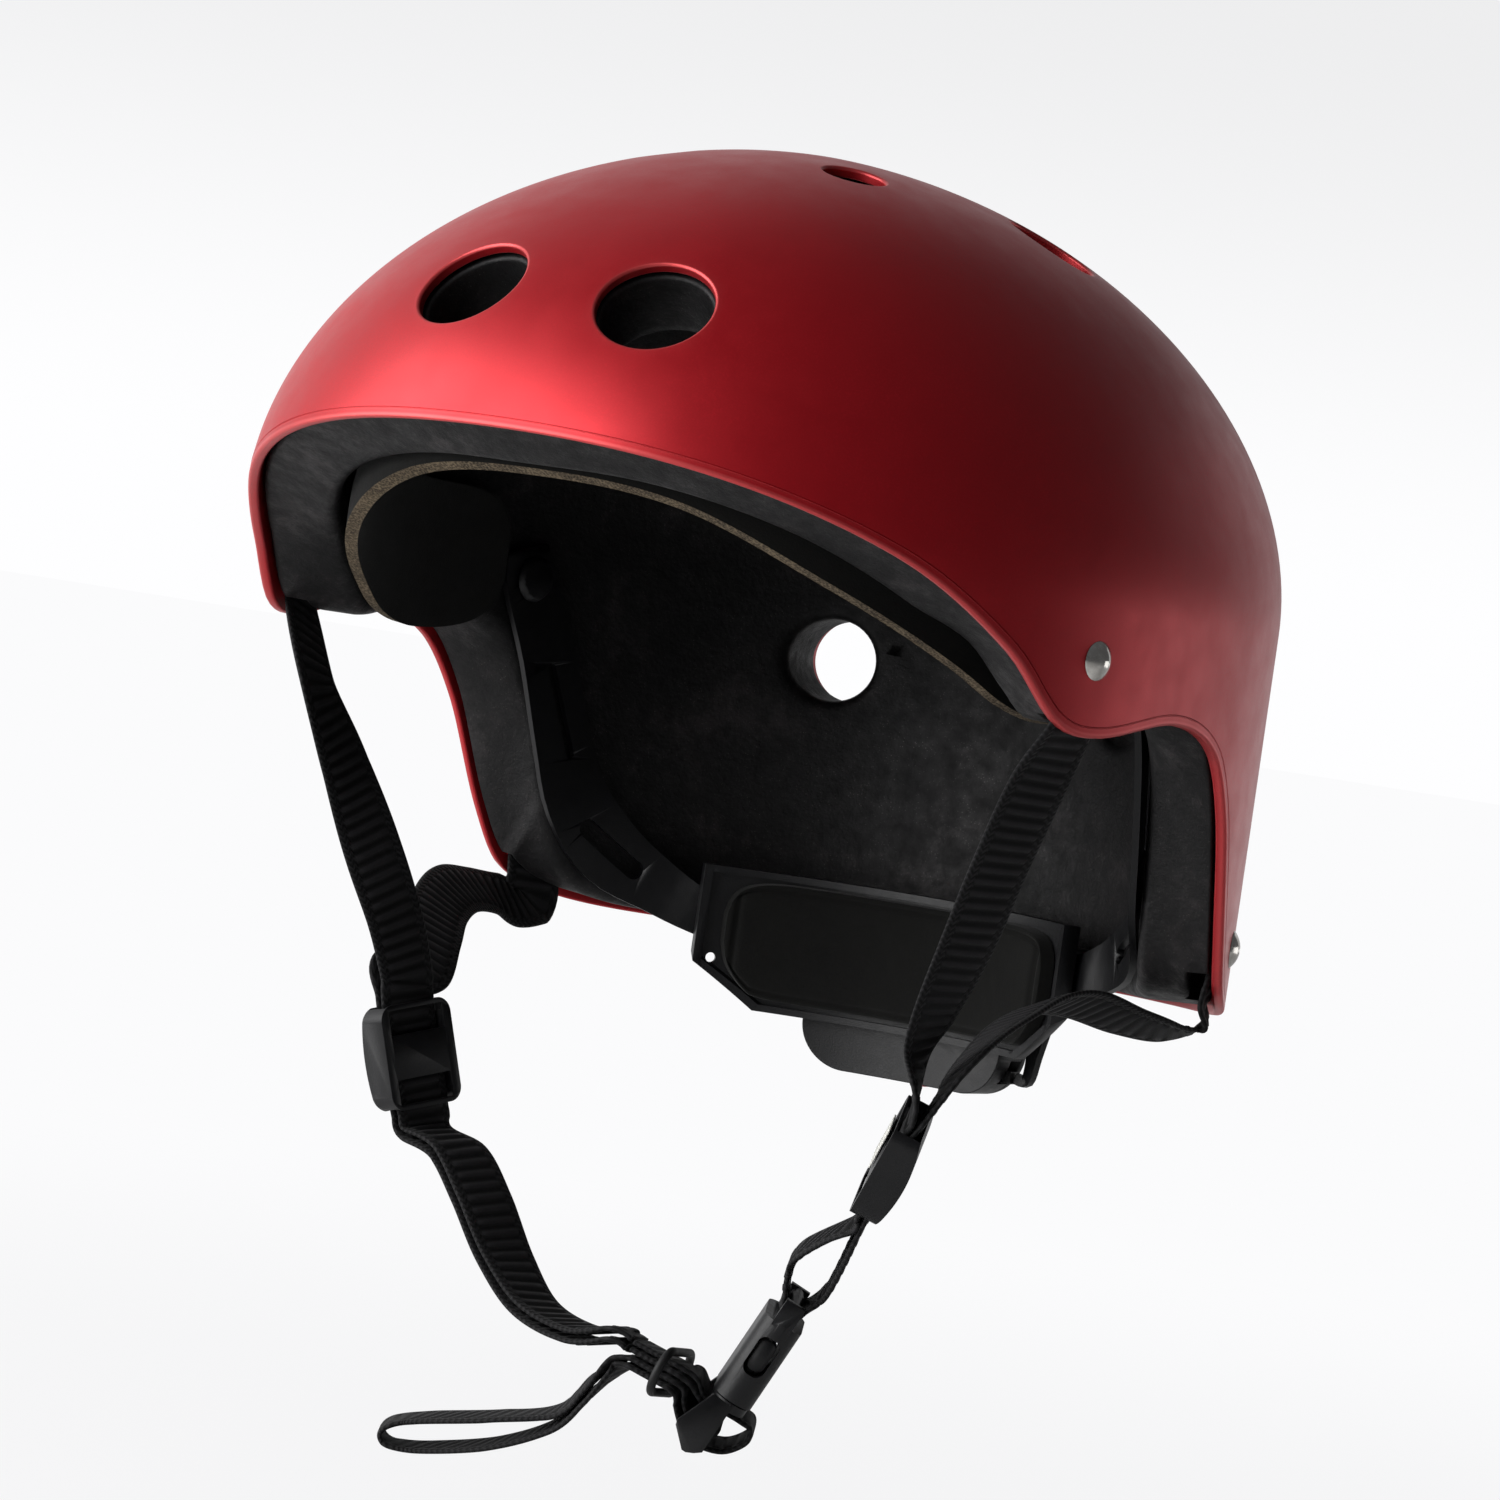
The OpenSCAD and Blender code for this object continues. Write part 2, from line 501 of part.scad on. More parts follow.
// Keeper place on the chin strap, and the four layers that it gathers
keeper_at = [14.8, -13.4, -180.55];
keeper_dir = [22, 6, -7.5];
keeper_side = [-0.3, 0.95, -0.1];
keeper = along(keeper_at, keeper_dir, keeper_side);
function in_keeper(x, y, z) = at(keeper, [x, y, z]);
split = -9;
module chin_strap_right() {
    color([0.1, 0.1, 0.1]) for (s = [-1, 1]) band(concat(
        [for (z = [seat, 9, divider_l / 2 + 1.5]) key(right_div(0, 0, z), divider_right_side, web_w)],
        [key(right_div(0, 1, divider_l / 2 + 6), divider_right_side, web_w),
            key([-52.6, -7.4, -142.8], [0.4, 0.9, 0], web_w), key([-43.8, -8.9, -151.6], [0.4, 0.9,
                0], web_w),
            key([-34.3, -10.3, -163.8], [0.3, 0.95, 0], web_w), key([-23.1, -12.9, -172.9], [0.1,
                0.99, 0], web_w),
            key([-9.2, -15, -176.2], [-0.1, 0.99, 0], web_w)],
        [for (z = [split - 5, split - 2, split - 2 * seat]) key(in_keeper(0, 2 * layer, z),
            keeper_side, web_w)]),
        web_t, 3, s * (layer + seat));
}
// The tail: out of the keeper, round the adjuster's bar, back through the keeper and into its
// folded loop
insert_bar_y = -1.2;
insert_bar_z = -8.2;
function adjuster(y, z) = key(in_buckle(0, y, z), -buckle_x, web_w);
function gathered(x, y, z) = key(in_keeper(x, y, z), keeper_side, web_w);
module tail_strap() {
    outer_r = wrap_r + 2 * layer + 0.4;
    color([0.1, 0.1, 0.1]) band(concat(
        [for (z = [split, -4, 3]) gathered(0, layer, z)],
        [gathered(0.9, layer - 0.7, 6)],
        [for (a = [-10:40:190]) adjuster(insert_bar_y + wrap_r * sin(a), insert_bar_z + wrap_r
            * cos(a))],
        [gathered(2.2, -4.6, 7.5), gathered(0.25, -layer - 0.2, 4.4)],
        [for (z = [3, -4, -7.5]) gathered(0, -layer, z)],
        [gathered(0.2, -layer - 0.7, -10), gathered(0.7, -layer - 2.4, -11.9)],
        [for (p = [[-3.8, -16.1, -186.35], [-12, -15.8, -194.05], [-26, -18.5, -197.85], [-44,
            -19.3, -201.55],
            [-50.5, -21.8, -203.55], [-52.6, -22.8, -206.15], [-50, -21.8, -208.35], [-42, -19.3,
                -207.85],
            [-25, -18.5, -203.75], [-12, -16.3, -197.55], [-4, -16.05, -189.55]]) key(p, tail_side,
                web_w)],
        [gathered(1, -3 * layer - 1.5, -10.3), gathered(0.6, -3 * layer - 0.45, -9.1)],
        [for (z = [-7.5, -4, 2.2]) gathered(0, -3 * layer, z)],
        [gathered(0.3, -3 * layer - 0.4, 3.4), gathered(2, -6.2, 6.1)],
        [adjuster(-3.5, insert_bar_z - outer_r), adjuster(0.6, insert_bar_z - outer_r),
            adjuster(5.2, insert_bar_z - 2.8), adjuster(8, insert_bar_z + 1.4), adjuster(7.2,
                insert_bar_z + 4.4),
            adjuster(4.2, insert_bar_z + outer_r), adjuster(-3.4, insert_bar_z + outer_r)],
        [gathered(0.9, 3 * layer - 0.5, 6)],
        [for (z = [3, -4, split]) gathered(0, 3 * layer, z)]), web_t, 3);
}
tail_side = [-0.515, 0.857, 0];

// Strap divider: a domed cover with a channel for two layers and a cross bar over them
channel_w = web_w + 2 * slip;
channel_h = 2 * web_t + 3 * slip;
mouth_l = 3;
module rounded(w, h, r) {
    square([w - 2 * r, h], center = true);
    square([w, h - 2 * r], center = true);
    for (x = [-1, 1], y = [-1, 1]) translate([x * (w / 2 - r), y * (h / 2 - r)]) circle(r = r);
}
module divider() {
    back = channel_h / 2 + 1.3;
    dome_r = 40;
    difference() {
        intersection() {
            translate([0, back - divider_h / 2, 0]) rotate([90, 0, 0]) linear_extrude(divider_h,
                center = true)
                rounded(divider_w, divider_l, 3.5);
            translate([0, back - divider_h + dome_r, 0]) rotate([0, 90, 0])
                cylinder(r = dome_r, h = divider_w + 2, center = true, $fn = 180);
        }
        cube([channel_w, channel_h, divider_l + 10], center = true);
        for (z = [-1, 1]) translate([0, 0, z * divider_l / 2]) cube([channel_w + 1, channel_h
            + 1.4, mouth_l * 2], center = true);
        for (z = [-1, 1]) translate([0, back, z * divider_l * 0.33]) cube([channel_w, 3.4,
            divider_l * 0.24], center = true);
    }
}
module divider_left() {
    color([0.15, 0.15, 0.15]) multmatrix(along(divider_left_at, divider_left_dir, divider_left_side))
        mirror([0, 1, 0]) divider();
}
module divider_right() {
    color([0.15, 0.15, 0.15]) multmatrix(along(divider_right_at, divider_right_dir,
        divider_right_side)) divider();
}

// Elastic ring round the four layers
keeper_wire_r = 1;
module keeper_ring() {
    straight = web_w + 2 * slip;
    rad = 4 * layer + slip + keeper_wire_r;
    color([0.2, 0.2, 0.2]) multmatrix(keeper) {
        for (x = [-1, 1]) translate([x * straight / 2, 0, 0]) rotate([0, 0, x * 90 - 180])
            rotate_extrude(angle = 180) translate([rad, 0]) circle(r = keeper_wire_r, $fn = 24);
        for (y = [-1, 1]) translate([0, y * rad, 0]) rotate([0, 90, 0])
            cylinder(r = keeper_wire_r, h = straight, center = true, $fn = 24);
    }
}

// Socket: a flattened tube with side windows, and a bar for the webbing behind it
socket_wall = 2;
socket_deep = 18;
window_z = 12;
module capsule(w, h) {
    square([w - h, h], center = true);
    for (x = [-1, 1]) translate([x * (w - h) / 2, 0]) circle(r = h / 2);
}
module buckle_socket() {
    body_l = socket_l - 4;
    color([0.1, 0.1, 0.1]) multmatrix(buckle) difference() {
        union() {
            linear_extrude(body_l) capsule(buckle_w, buckle_h);
            for (x = [-1, 1]) translate([x * (buckle_w / 2 - 1.4), 0, body_l - 1])
                linear_extrude(socket_l + bar_r - body_l + 1)
                square([2.6, buckle_h * 0.5], center = true);
            translate([0, 0, socket_l]) rotate([0, 90, 0]) cylinder(r = bar_r, h = buckle_w - 3,
                center = true);
        }
        translate([0, 0, -1]) linear_extrude(socket_deep + 1) capsule(buckle_w - 2 * socket_wall,
            buckle_h - 2 * socket_wall);
        for (x = [-1, 1]) translate([x * buckle_w / 2, 0, window_z]) rotate([0, 90, 0])
            linear_extrude(9, center = true) rounded(9.5, 5.2, 2);
    }
}
// Insert: a guide tongue inside the socket, and an adjuster frame with two bars outside it
tongue_l = 12;
flange_t = 2;
insert_l = 15;
module buckle_insert() {
    color([0.1, 0.1, 0.1]) multmatrix(buckle) {
        translate([0, 0, -seat - flange_t]) linear_extrude(flange_t) capsule(buckle_w, buckle_h - 1);
        translate([0, 0, -seat - 0.5]) linear_extrude(tongue_l + seat + 0.5) square([4, 3.6],
            center = true);
        for (x = [-1, 1]) translate([x * (buckle_w / 2 - 1), 0, 0]) rotate([90, 0, 90])
            linear_extrude(2, center = true)
            polygon([[0.9, -seat - 0.5], [0.9, 2 - insert_l], [-0.6, 0.8 - insert_l], [-2.2,
                -insert_l], [-3.2, -insert_l],
                [-7.4, -insert_l + 4], [-7.6, -insert_l + 5.2], [-4.2, -seat - 0.5]]);
        translate([0, insert_bar_y, insert_bar_z]) rotate([0, 90, 0]) cylinder(r = bar_r,
            h = buckle_w - 2, center = true);
    }
}
// Two springy arms whose pads show in the socket's windows
latch_arm_t = 1.6;
module buckle_latch_arms() {
    inner = buckle_w / 2 - socket_wall - slip;
    color([0.1, 0.1, 0.1]) multmatrix(buckle) for (x = [-1, 1]) {
        translate([x * (inner - latch_arm_t / 2 - 1.2), 0, 0]) linear_extrude(window_z + 2.5)
            square([latch_arm_t, 3.6], center = true);
        translate([x * (inner - latch_arm_t / 2 - 0.4), 0, window_z]) rotate([0, 90, 0])
            linear_extrude(latch_arm_t + 2.4, center = true) rounded(7.6, 4, 1.6);
    }
}

// Small blank tag sewn to the left webbing under its divider
module blank_tag() {
    color("white") multmatrix(along(divider_left_at, divider_left_dir, divider_left_side))
        translate([2.5, -channel_h / 2 - 1.3 - seat - 0.2, -1.5]) cube([9, 0.4, 10], center = true);
}

// Fit arms: from a pin on the liner's side, down and back to the cradle, and along behind its band
pin_r = 2.5;
arm_gap = 1.2;
arm_in = liner_in + arm_gap + arm_t / 2;
nape_seat_y = 95.7;
band_centre = [0, nape_seat_y - band_r];
arm_turn_x = half_w - 36.5;
band_mid_z = nape_z + 3.5;
function arm_pin_frame(side) =
    let (n = wall_n(side * arm_top[0], arm_top[1])) along(wall_pt(side * arm_top[0], arm_top[1],
        liner_in), -n, [0, 0, 1]);
function arm_wall(side, a, z, w) =
    let (p = wall_pt(side * a, z, arm_in), n = wall_n(side * a, z)) key(p, n, w);
duct_r = band_r + band_t + 2.2;
function behind_band(side, a, z, w) =
    key([side * duct_r * sin(a), band_centre[1] + duct_r * cos(a), z], [side * sin(a), cos(a), 0], w);
// The arm's keys hold the face direction, so its side is worked out from the path; its end is a
// tongue beside a rack
function arm_keys(rack_z) = [arm_wall(1, arm_top[0] - 1.5, arm_top[1] + 7, arm_w - 3), arm_wall(1,
    arm_top[0], arm_top[1], arm_w),
    arm_wall(1, 118, -28, arm_w), arm_wall(1, 123, -48, arm_w), arm_wall(1, 127, -62, arm_w + 1),
    key([arm_turn_x, 67.5, -73.5], [0.8, 0.6, 0], arm_w + 1),
    key([arm_turn_x - 9.5, 76.5, -80.5], [0.7, 0.7, 0], arm_w - 3),
    behind_band(1, 41, band_mid_z + 1.5, 11), behind_band(1, 35.5, band_mid_z, 11), behind_band(1,
        28, band_mid_z, 9.4),
    key([35.8, 95.4, (band_mid_z * 2 + rack_z) / 3], [0.3, 0.9, 0], 8),
    key([33, 99.5, (band_mid_z + rack_z * 3) / 4], [0.5, 0.9, 0], 5),
    key([30.5, tongue_y, rack_z], [0.3, 0.9, 0], 3), key([house_w / 2 + seat, tongue_y, rack_z],
        [0, 1, 0], 2.6)];
function arm_rings(keys, t) =
    [for (i = [0:len(keys) - 1])
        let (a = keys[max(i - 1, 0)], b = keys[min(i + 1, len(keys) - 1)], k = keys[i],
            dir = unit([b[0] - a[0], b[1] - a[1], b[2] - a[2]]), face = [k[3], k[4], k[5]],
            n = unit(face - (face * dir) * dir) * t / 2, w = cross(unit(n), dir) * k[6] / 2,
                p = [k[0], k[1], k[2]])
        each [p + w + n, p - w + n, p - w - n, p + w - n]];
module fit_arm(rack_z) {
    side = 1;
    rings = arm_rings(smooth(arm_keys(rack_z), 4), arm_t);
    color([0.1, 0.1, 0.1]) difference() {
        polyhedron(rings, ring_faces(4, len(rings) / 4), convexity = 8);
        multmatrix(arm_pin_frame(side)) translate([0, 0, -5]) cylinder(r = pin_r + 0.1, h = 14);
        multmatrix(slot_frame(side, 122, -42, 118, -28)) rotate([90, 0, 0]) linear_extrude(12,
            center = true) rounded(2.4, 24, 1.1);
        multmatrix(along([side * arm_turn_x, 67.5, -73], [side * -10, 12, -10], [side * 0.8, 0.6,
            0])) rotate([0, 90, 0])
            linear_extrude(12, center = true) rounded(20, 4.6, 2.2);
    }
}
function slot_frame(side, a, z, a2, z2) =
    let (p = wall_pt(side * a, z, arm_in), q = wall_pt(side * a2, z2, arm_in), n = wall_n(side * a, z))
    along(p, q - p, cross(q - p, n));
module fit_arm_left() { fit_arm(dial_z - rack_off); }
module fit_arm_right() { mirror([1, 0, 0]) fit_arm(dial_z + rack_off); }
module arm_pins() {
    color([0.15, 0.15, 0.15]) for (side = [-1, 1]) multmatrix(arm_pin_frame(side)) {
        translate([0, 0, -14]) cylinder(r = pin_r, h = 14 + arm_gap + arm_t + seat + 0.5);
        translate([0, 0, arm_gap + arm_t + 2 * seat]) cylinder(r1 = 5.5, r2 = 4.6, h = 1.6);
    }
}

// Cradle: a curved band at the nape with a raised edge, ducts for the arms and small perforations
band_top = band_mid_z + 13;
band_bottom = band_top - band_h;
module ring_part(r1, r2, z1, z2, half) {
    translate([band_centre[0], band_centre[1], z1]) rotate([0, 0, 90 - half])
        rotate_extrude(angle = 2 * half, $fn = 96)
        translate([r1, 0]) square([r2 - r1, z2 - z1]);
}
module cradle_outline(grow) {
    reach = band_r * sin(band_half) + 3;
    drop = band_h - 13;
    polygon([for (p = [[-1, 0, 1], [1, 0, 1], [1, drop, -0.3], [0.68, band_h, -1], [-0.68, band_h,
        -1], [-1, drop, -0.3]])
        [p[0] * (reach + grow), band_top - p[1] + p[2] * grow]]);
}
module cradle_cut(grow) {
    translate([0, 160, 0]) rotate([90, 0, 0]) linear_extrude(140) cradle_outline(grow);
}
module cradle_frame() {
    rim = 1.6;
    color([0.1, 0.1, 0.1]) difference() {
        union() {
            intersection() {
                ring_part(band_r, band_r + band_t, band_bottom - 1, band_top + 1, band_half);
                cradle_cut(0);
            }
            intersection() {
                difference() {
                    ring_part(band_r - 1.8, band_r + 0.2, band_bottom - 1, band_top + 1, band_half);
                    intersection() {
                        ring_part(band_r - 4, band_r + 2, band_bottom - 2, band_top + 2,
                            band_half - 1.6);
                        cradle_cut(-rim);
                    }
                }
                cradle_cut(0);
            }
            for (side = [-1, 1]) duct(side);
        }
        for (side = [-1, 1], h = [[37.6, -1], [38.4, -6], [36.8, -9.5]]) translate([band_centre[0],
            band_centre[1], band_mid_z - 8 + h[1]])
            rotate([0, 0, -side * h[0]]) rotate([-90, 0, 0]) cylinder(d = 2.4, h = 80);
    }
}
duct_half_h = 7.8;
module duct(side) {
    from = 29.5;
    to = 39.5;
    translate([band_centre[0], band_centre[1], band_mid_z]) rotate([0, 0, side > 0 ? 90 - to : 90
        + from])
        rotate_extrude(angle = to - from, $fn = 96) difference() {
            translate([band_r + band_t - 0.2, -duct_half_h]) square([5.4, 2 * duct_half_h]);
            translate([duct_r - 1.6, -duct_half_h + 0.8]) square([3.7, 2 * duct_half_h - 1.6]);
        }
}
// Nape pad on the band's inner face
nape_cols = 31;
nape_rows = 9;
function nape_pt(i, j, lift) =
    let (s = -1 + 2 * j / (nape_cols - 1), v = -1 + 2 * i / (nape_rows - 1), a = (band_half - 4.6) * s,
        edge = rounded_end(s, 10), top = band_top - 2.2, x = abs(sin(a) * band_r),
        low = band_bottom + 2.7 + max(0, x - band_r * 0.5) * 0.6, mid = (top + low) / 2,
        r = band_r - seat - (lift ? 0.55 * nape_pad_t + 0.45 * nape_pad_t * bulge(s, v) : 0))
    [r * sin(a), band_centre[1] + r * cos(a), mid + (top - low) / 2 * edge * v];
module cradle_pad() {
    color([0.16, 0.16, 0.15]) polyhedron(
        concat([for (i = [0:nape_rows - 1]) for (j = [0:nape_cols - 1]) nape_pt(i, j, true)],
            [for (i = [0:nape_rows - 1]) for (j = [0:nape_cols - 1]) nape_pt(i, j, false)]),
        pad_faces(nape_cols, nape_rows), convexity = 6);
}

// Dial housing behind the band: an open box that holds both racks and the pinion
dial_z = band_mid_z - 17.2;
band_back = band_centre[1] + band_r + band_t;
house_w = 54;
house_up = 14;
floor_t = 1.8;
chamber = 5;
cover_t = 2;
floor_y = band_back + seat + floor_t;
cover_y = floor_y + chamber;
rack_h = 3;
rack_y = floor_y + slip;
rack_t = chamber - 2 * slip;
rack_off = pinion_r + 1.1 + rack_h / 2;
tongue_y = rack_y + rack_t / 2;
module house_outline(shrink) {
    translate([0, dial_z]) rounded(house_w - 2 * shrink, 2 * house_up - 2 * shrink, 11 - shrink);
}
module plate(y, t) { translate([0, y + t, 0]) rotate([90, 0, 0]) linear_extrude(t) children(); }
module screw_holes(r, y, t) {
    for (x = [-1, 1]) translate([x * 20, y, dial_z]) rotate([-90, 0, 0]) cylinder(r = r, h = t);
}
module dial_housing() {
    color([0.12, 0.12, 0.12]) difference() {
        plate(band_back - 8, 8 + seat + floor_t + chamber) house_outline(0);
        ring_part(0, band_r + band_t + seat, dial_z - 40, dial_z + 40, 90);
        difference() {
            plate(floor_y, chamber + 1) house_outline(1.6);
            screw_posts();
        }
        for (side = [-1, 1]) translate([side * 24, rack_y + rack_t / 2, dial_z - side * (pinion_r
            + (rack_h + 0.3) / 2)])
            cube([20, rack_t + 2 * slip, rack_h + 1.9 + 2 * slip], center = true);
        screw_holes(0.9, floor_y + 0.6, 12);
    }
}
module screw_posts() { for (x = [-1, 1]) translate([x * 20, floor_y - 1, dial_z]) rotate([-90, 0,
    0]) cylinder(r = 2.2, h = chamber + 1); }
module housing_cover() {
    color([0.12, 0.12, 0.12]) difference() {
        plate(cover_y, cover_t) house_outline(0);
        translate([0, cover_y - 1, dial_z]) rotate([-90, 0, 0]) cylinder(r = shaft_r + 0.08,
            h = cover_t + 2);
        screw_holes(1.2, cover_y - 1, 6);
    }
}
module cover_screws() {
    color("silver") for (x = [-1, 1]) translate([x * 20, 0, dial_z]) rotate([-90, 0, 0]) {
        translate([0, 0, floor_y + 1]) cylinder(r = 0.85, h = cover_y + cover_t - floor_y - 1);
        translate([0, 0, cover_y + cover_t]) cylinder(r1 = 2, r2 = 1.5, h = 1);
    }
}

// Rack and pinion: the left rack runs under the pinion and the right one over it
pitch = 2 * PI * pinion_r / pinion_teeth;
shaft_r = 4;
module pinion_outline() {
    step = 360 / pinion_teeth;
    root = pinion_r - 1.15;
    tip = pinion_r + 0.8;
    circle(r = root);
    for (i = [0:pinion_teeth - 1]) rotate(i * step) polygon([[root - 0.6, -0.95], [root, -0.9],
        [pinion_r, -0.55],
        [tip, -0.2], [tip, 0.2], [pinion_r, 0.55], [root, 0.9], [root - 0.6, 0.95]]);
}
// Rack teeth point to +Z from a bar below them, with a tooth gap at x = 0
module rack_outline(from, to) {
    polygon(concat([[from, -1.1 - rack_h], [from, -1.2]],
        [for (i = [-7:1]) for (q = [[-0.95, -1.2], [-0.55, 0], [-0.25, 0.8], [0.25, 0.8], [0.55,
            0], [0.95, -1.2]])
            [(i + 0.5) * pitch + q[0], q[1]]],
        [[to, -1.2], [to, -1.1 - rack_h]]));
}
rack_in = -7;
rack_out = 27;
module rack_left() {
    color([0.3, 0.3, 0.3]) translate([0, rack_y + rack_t, dial_z - pinion_r]) rotate([90, 0, 0])
        linear_extrude(rack_t)
        mirror([1, 0]) rack_outline(-rack_out, -rack_in);
}
module rack_right() {
    color([0.3, 0.3, 0.3]) translate([0, rack_y + rack_t, dial_z + pinion_r]) rotate([90, 0, 0])
        linear_extrude(rack_t)
        mirror([0, 1]) rack_outline(-rack_out, -rack_in);
}
module drive_pinion() {
    color([0.85, 0.85, 0.8]) difference() {
        plate(rack_y, rack_t) translate([0, dial_z]) rotate(90) pinion_outline();
        translate([0, rack_y - 1, dial_z]) rotate([-90, 0, 0]) cylinder(r = 1.55, h = rack_t + 2);
    }
}

// Dial knob with a scalloped rim, its shaft through the cover, its cap and its screw
knob_y = cover_y + cover_t + slip;
module dial_knob() {
    color("firebrick") difference() {
        union() {
            plate(knob_y, knob_t) translate([0, dial_z]) difference() {
                circle(r = knob_r, $fn = 96);
                for (i = [0:17]) rotate(i * 20) translate([knob_r + 1.2, 0]) circle(r = 2.2);
            }
            translate([0, rack_y + rack_t + 0.05, dial_z]) rotate([-90, 0, 0])
                cylinder(r = shaft_r, h = knob_y - rack_y - rack_t + 1);
        }
        translate([0, rack_y, dial_z]) rotate([-90, 0, 0]) cylinder(r = 1.55, h = 30);
        translate([0, knob_y + knob_t - 2.5, dial_z]) rotate([-90, 0, 0]) cylinder(r = knob_r
            * 0.62, h = 5);
    }
}
module dial_cap() {
    color([0.12, 0.12, 0.12]) translate([0, knob_y + knob_t - 0.8, dial_z]) rotate([-90, 0, 0])
        cylinder(r1 = knob_r * 0.62 - 0.1, r2 = knob_r * 0.62 - 0.6, h = 1.4);
}
module dial_screw() {
    color("silver") translate([0, 0, dial_z]) rotate([-90, 0, 0]) {
        translate([0, 0, rack_y]) cylinder(r = 1.5, h = knob_y + knob_t - 2.5 - rack_y);
        translate([0, 0, knob_y + knob_t - 2.5]) cylinder(r = 3, h = 1.5);
    }
}

outer_shell();
eps_liner();
brow_pad();
crown_pad();
pad_hook_dots();
strap_rivets();
rivet_washers();
front_strap_left();
rear_strap_left();
chin_strap_left();
front_strap_right();
rear_strap_right();
chin_strap_right();
tail_strap();
divider_left();
divider_right();
keeper_ring();
buckle_socket();
buckle_insert();
buckle_latch_arms();
blank_tag();
fit_arm_left();
fit_arm_right();
arm_pins();
cradle_frame();
cradle_pad();
dial_housing();
housing_cover();
cover_screws();
rack_left();
rack_right();
drive_pinion();
dial_knob();
dial_cap();
dial_screw();
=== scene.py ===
# %% [markdown]
# # A skate helmet, dressed over its CAD frame
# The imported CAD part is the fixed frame: it says where every piece is and what moves.
# This notebook only adds looks: a smooth shell with rounded vents, bead foam, seamed pads, ribbed webbing
# and softened plastic. Every size below is written in millimetres and turned to metres when a mesh is made.

import math

import bmesh
import bpy
import numpy as np
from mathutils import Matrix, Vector


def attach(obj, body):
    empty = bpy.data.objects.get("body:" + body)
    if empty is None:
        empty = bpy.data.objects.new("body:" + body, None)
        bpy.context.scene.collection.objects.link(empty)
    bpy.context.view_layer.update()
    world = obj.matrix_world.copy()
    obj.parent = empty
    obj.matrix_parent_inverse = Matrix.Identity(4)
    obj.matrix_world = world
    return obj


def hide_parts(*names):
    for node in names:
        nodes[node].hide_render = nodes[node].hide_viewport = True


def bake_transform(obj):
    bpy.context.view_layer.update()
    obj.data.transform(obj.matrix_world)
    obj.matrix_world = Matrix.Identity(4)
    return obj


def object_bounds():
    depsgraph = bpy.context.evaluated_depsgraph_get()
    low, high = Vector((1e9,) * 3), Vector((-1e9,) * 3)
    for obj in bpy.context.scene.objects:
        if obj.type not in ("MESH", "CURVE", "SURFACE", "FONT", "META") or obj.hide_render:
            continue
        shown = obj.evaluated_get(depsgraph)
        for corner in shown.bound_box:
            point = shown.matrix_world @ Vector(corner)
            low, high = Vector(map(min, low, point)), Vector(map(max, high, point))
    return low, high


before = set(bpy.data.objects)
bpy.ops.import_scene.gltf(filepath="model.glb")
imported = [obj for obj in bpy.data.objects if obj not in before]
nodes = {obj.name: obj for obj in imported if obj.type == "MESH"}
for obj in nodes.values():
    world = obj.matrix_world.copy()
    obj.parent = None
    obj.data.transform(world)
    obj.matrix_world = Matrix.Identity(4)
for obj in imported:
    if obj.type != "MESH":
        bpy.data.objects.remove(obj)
cad_box = [list(corner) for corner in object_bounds()]
mm = 0.001
print("frame:", len(nodes), "nodes, box in mm", [[round(v / mm, 1) for v in corner] for corner in cad_box])

# %% [markdown]
# ## The camera
# A product photographer stands well back with a long lens, so that the rim's ellipse keeps its true shape.
# The camera was fitted to the rivets, vents and rim: it looks from 31 degrees beside the front, level with the rim,
# and is rolled by 8 degrees. It could be placed by eye, but three measured angles and a distance repeat exactly.

# %% Camera
picture = 1500
around, lift, roll = math.radians(31.07), math.radians(0.19), math.radians(8.15)
distance = 1.5617
focal_px, axis_px = 6993.06, (760.81, 560.56)
back = Vector((math.sin(around) * math.cos(lift), -math.cos(around) * math.cos(lift), math.sin(lift)))
flat_right = Vector((math.cos(around), math.sin(around), 0))
flat_up = back.cross(flat_right)
right = flat_right * math.cos(roll) + flat_up * math.sin(roll)
up = flat_up * math.cos(roll) - flat_right * math.sin(roll)
# The fitted axis passes beside the picture's middle, so the camera is turned to look through the middle
middle_px = picture / 2
aim = -back + right * (middle_px - axis_px[0]) / focal_px - up * (middle_px - axis_px[1]) / focal_px
camera_z = -aim.normalized()
camera_x = up.cross(camera_z).normalized()
camera_y = camera_z.cross(camera_x)

scene = bpy.context.scene
camera = bpy.data.objects.new("camera", bpy.data.cameras.new("camera"))
scene.collection.objects.link(camera)
camera.data.sensor_fit = "HORIZONTAL"
camera.data.sensor_width = 36
camera.data.lens = focal_px * camera.data.sensor_width / picture
camera.data.clip_end = 50
for row in range(3):
    for column, axis in enumerate((camera_x, camera_y, camera_z)):
        camera.matrix_world[row][column] = axis[row]
    camera.matrix_world[row][3] = back[row] * distance
scene.camera = camera
print("camera: lens", round(camera.data.lens, 1), "mm at", [round(v, 3) for v in camera.matrix_world.translation])

# %% [markdown]
# ## Helpers for nodes and colours
# Shader trees and geometry trees are built the same way: a node is added, its settings are set, and each input gets
# either a value or a link. One small function does this for every tree. Colours are written as the hex codes that
# a paint program shows, and one function turns them to the linear values that the renderer works with.

# %% Node and colour helpers
def linear(code):
    """A hex colour such as A01020 as linear red, green, blue and alpha."""
    shares = [int(code[i:i + 2], 16) / 255 for i in (0, 2, 4)]
    return [s / 12.92 if s <= 0.04045 else ((s + 0.055) / 1.055) ** 2.4 for s in shares] + [1.0]


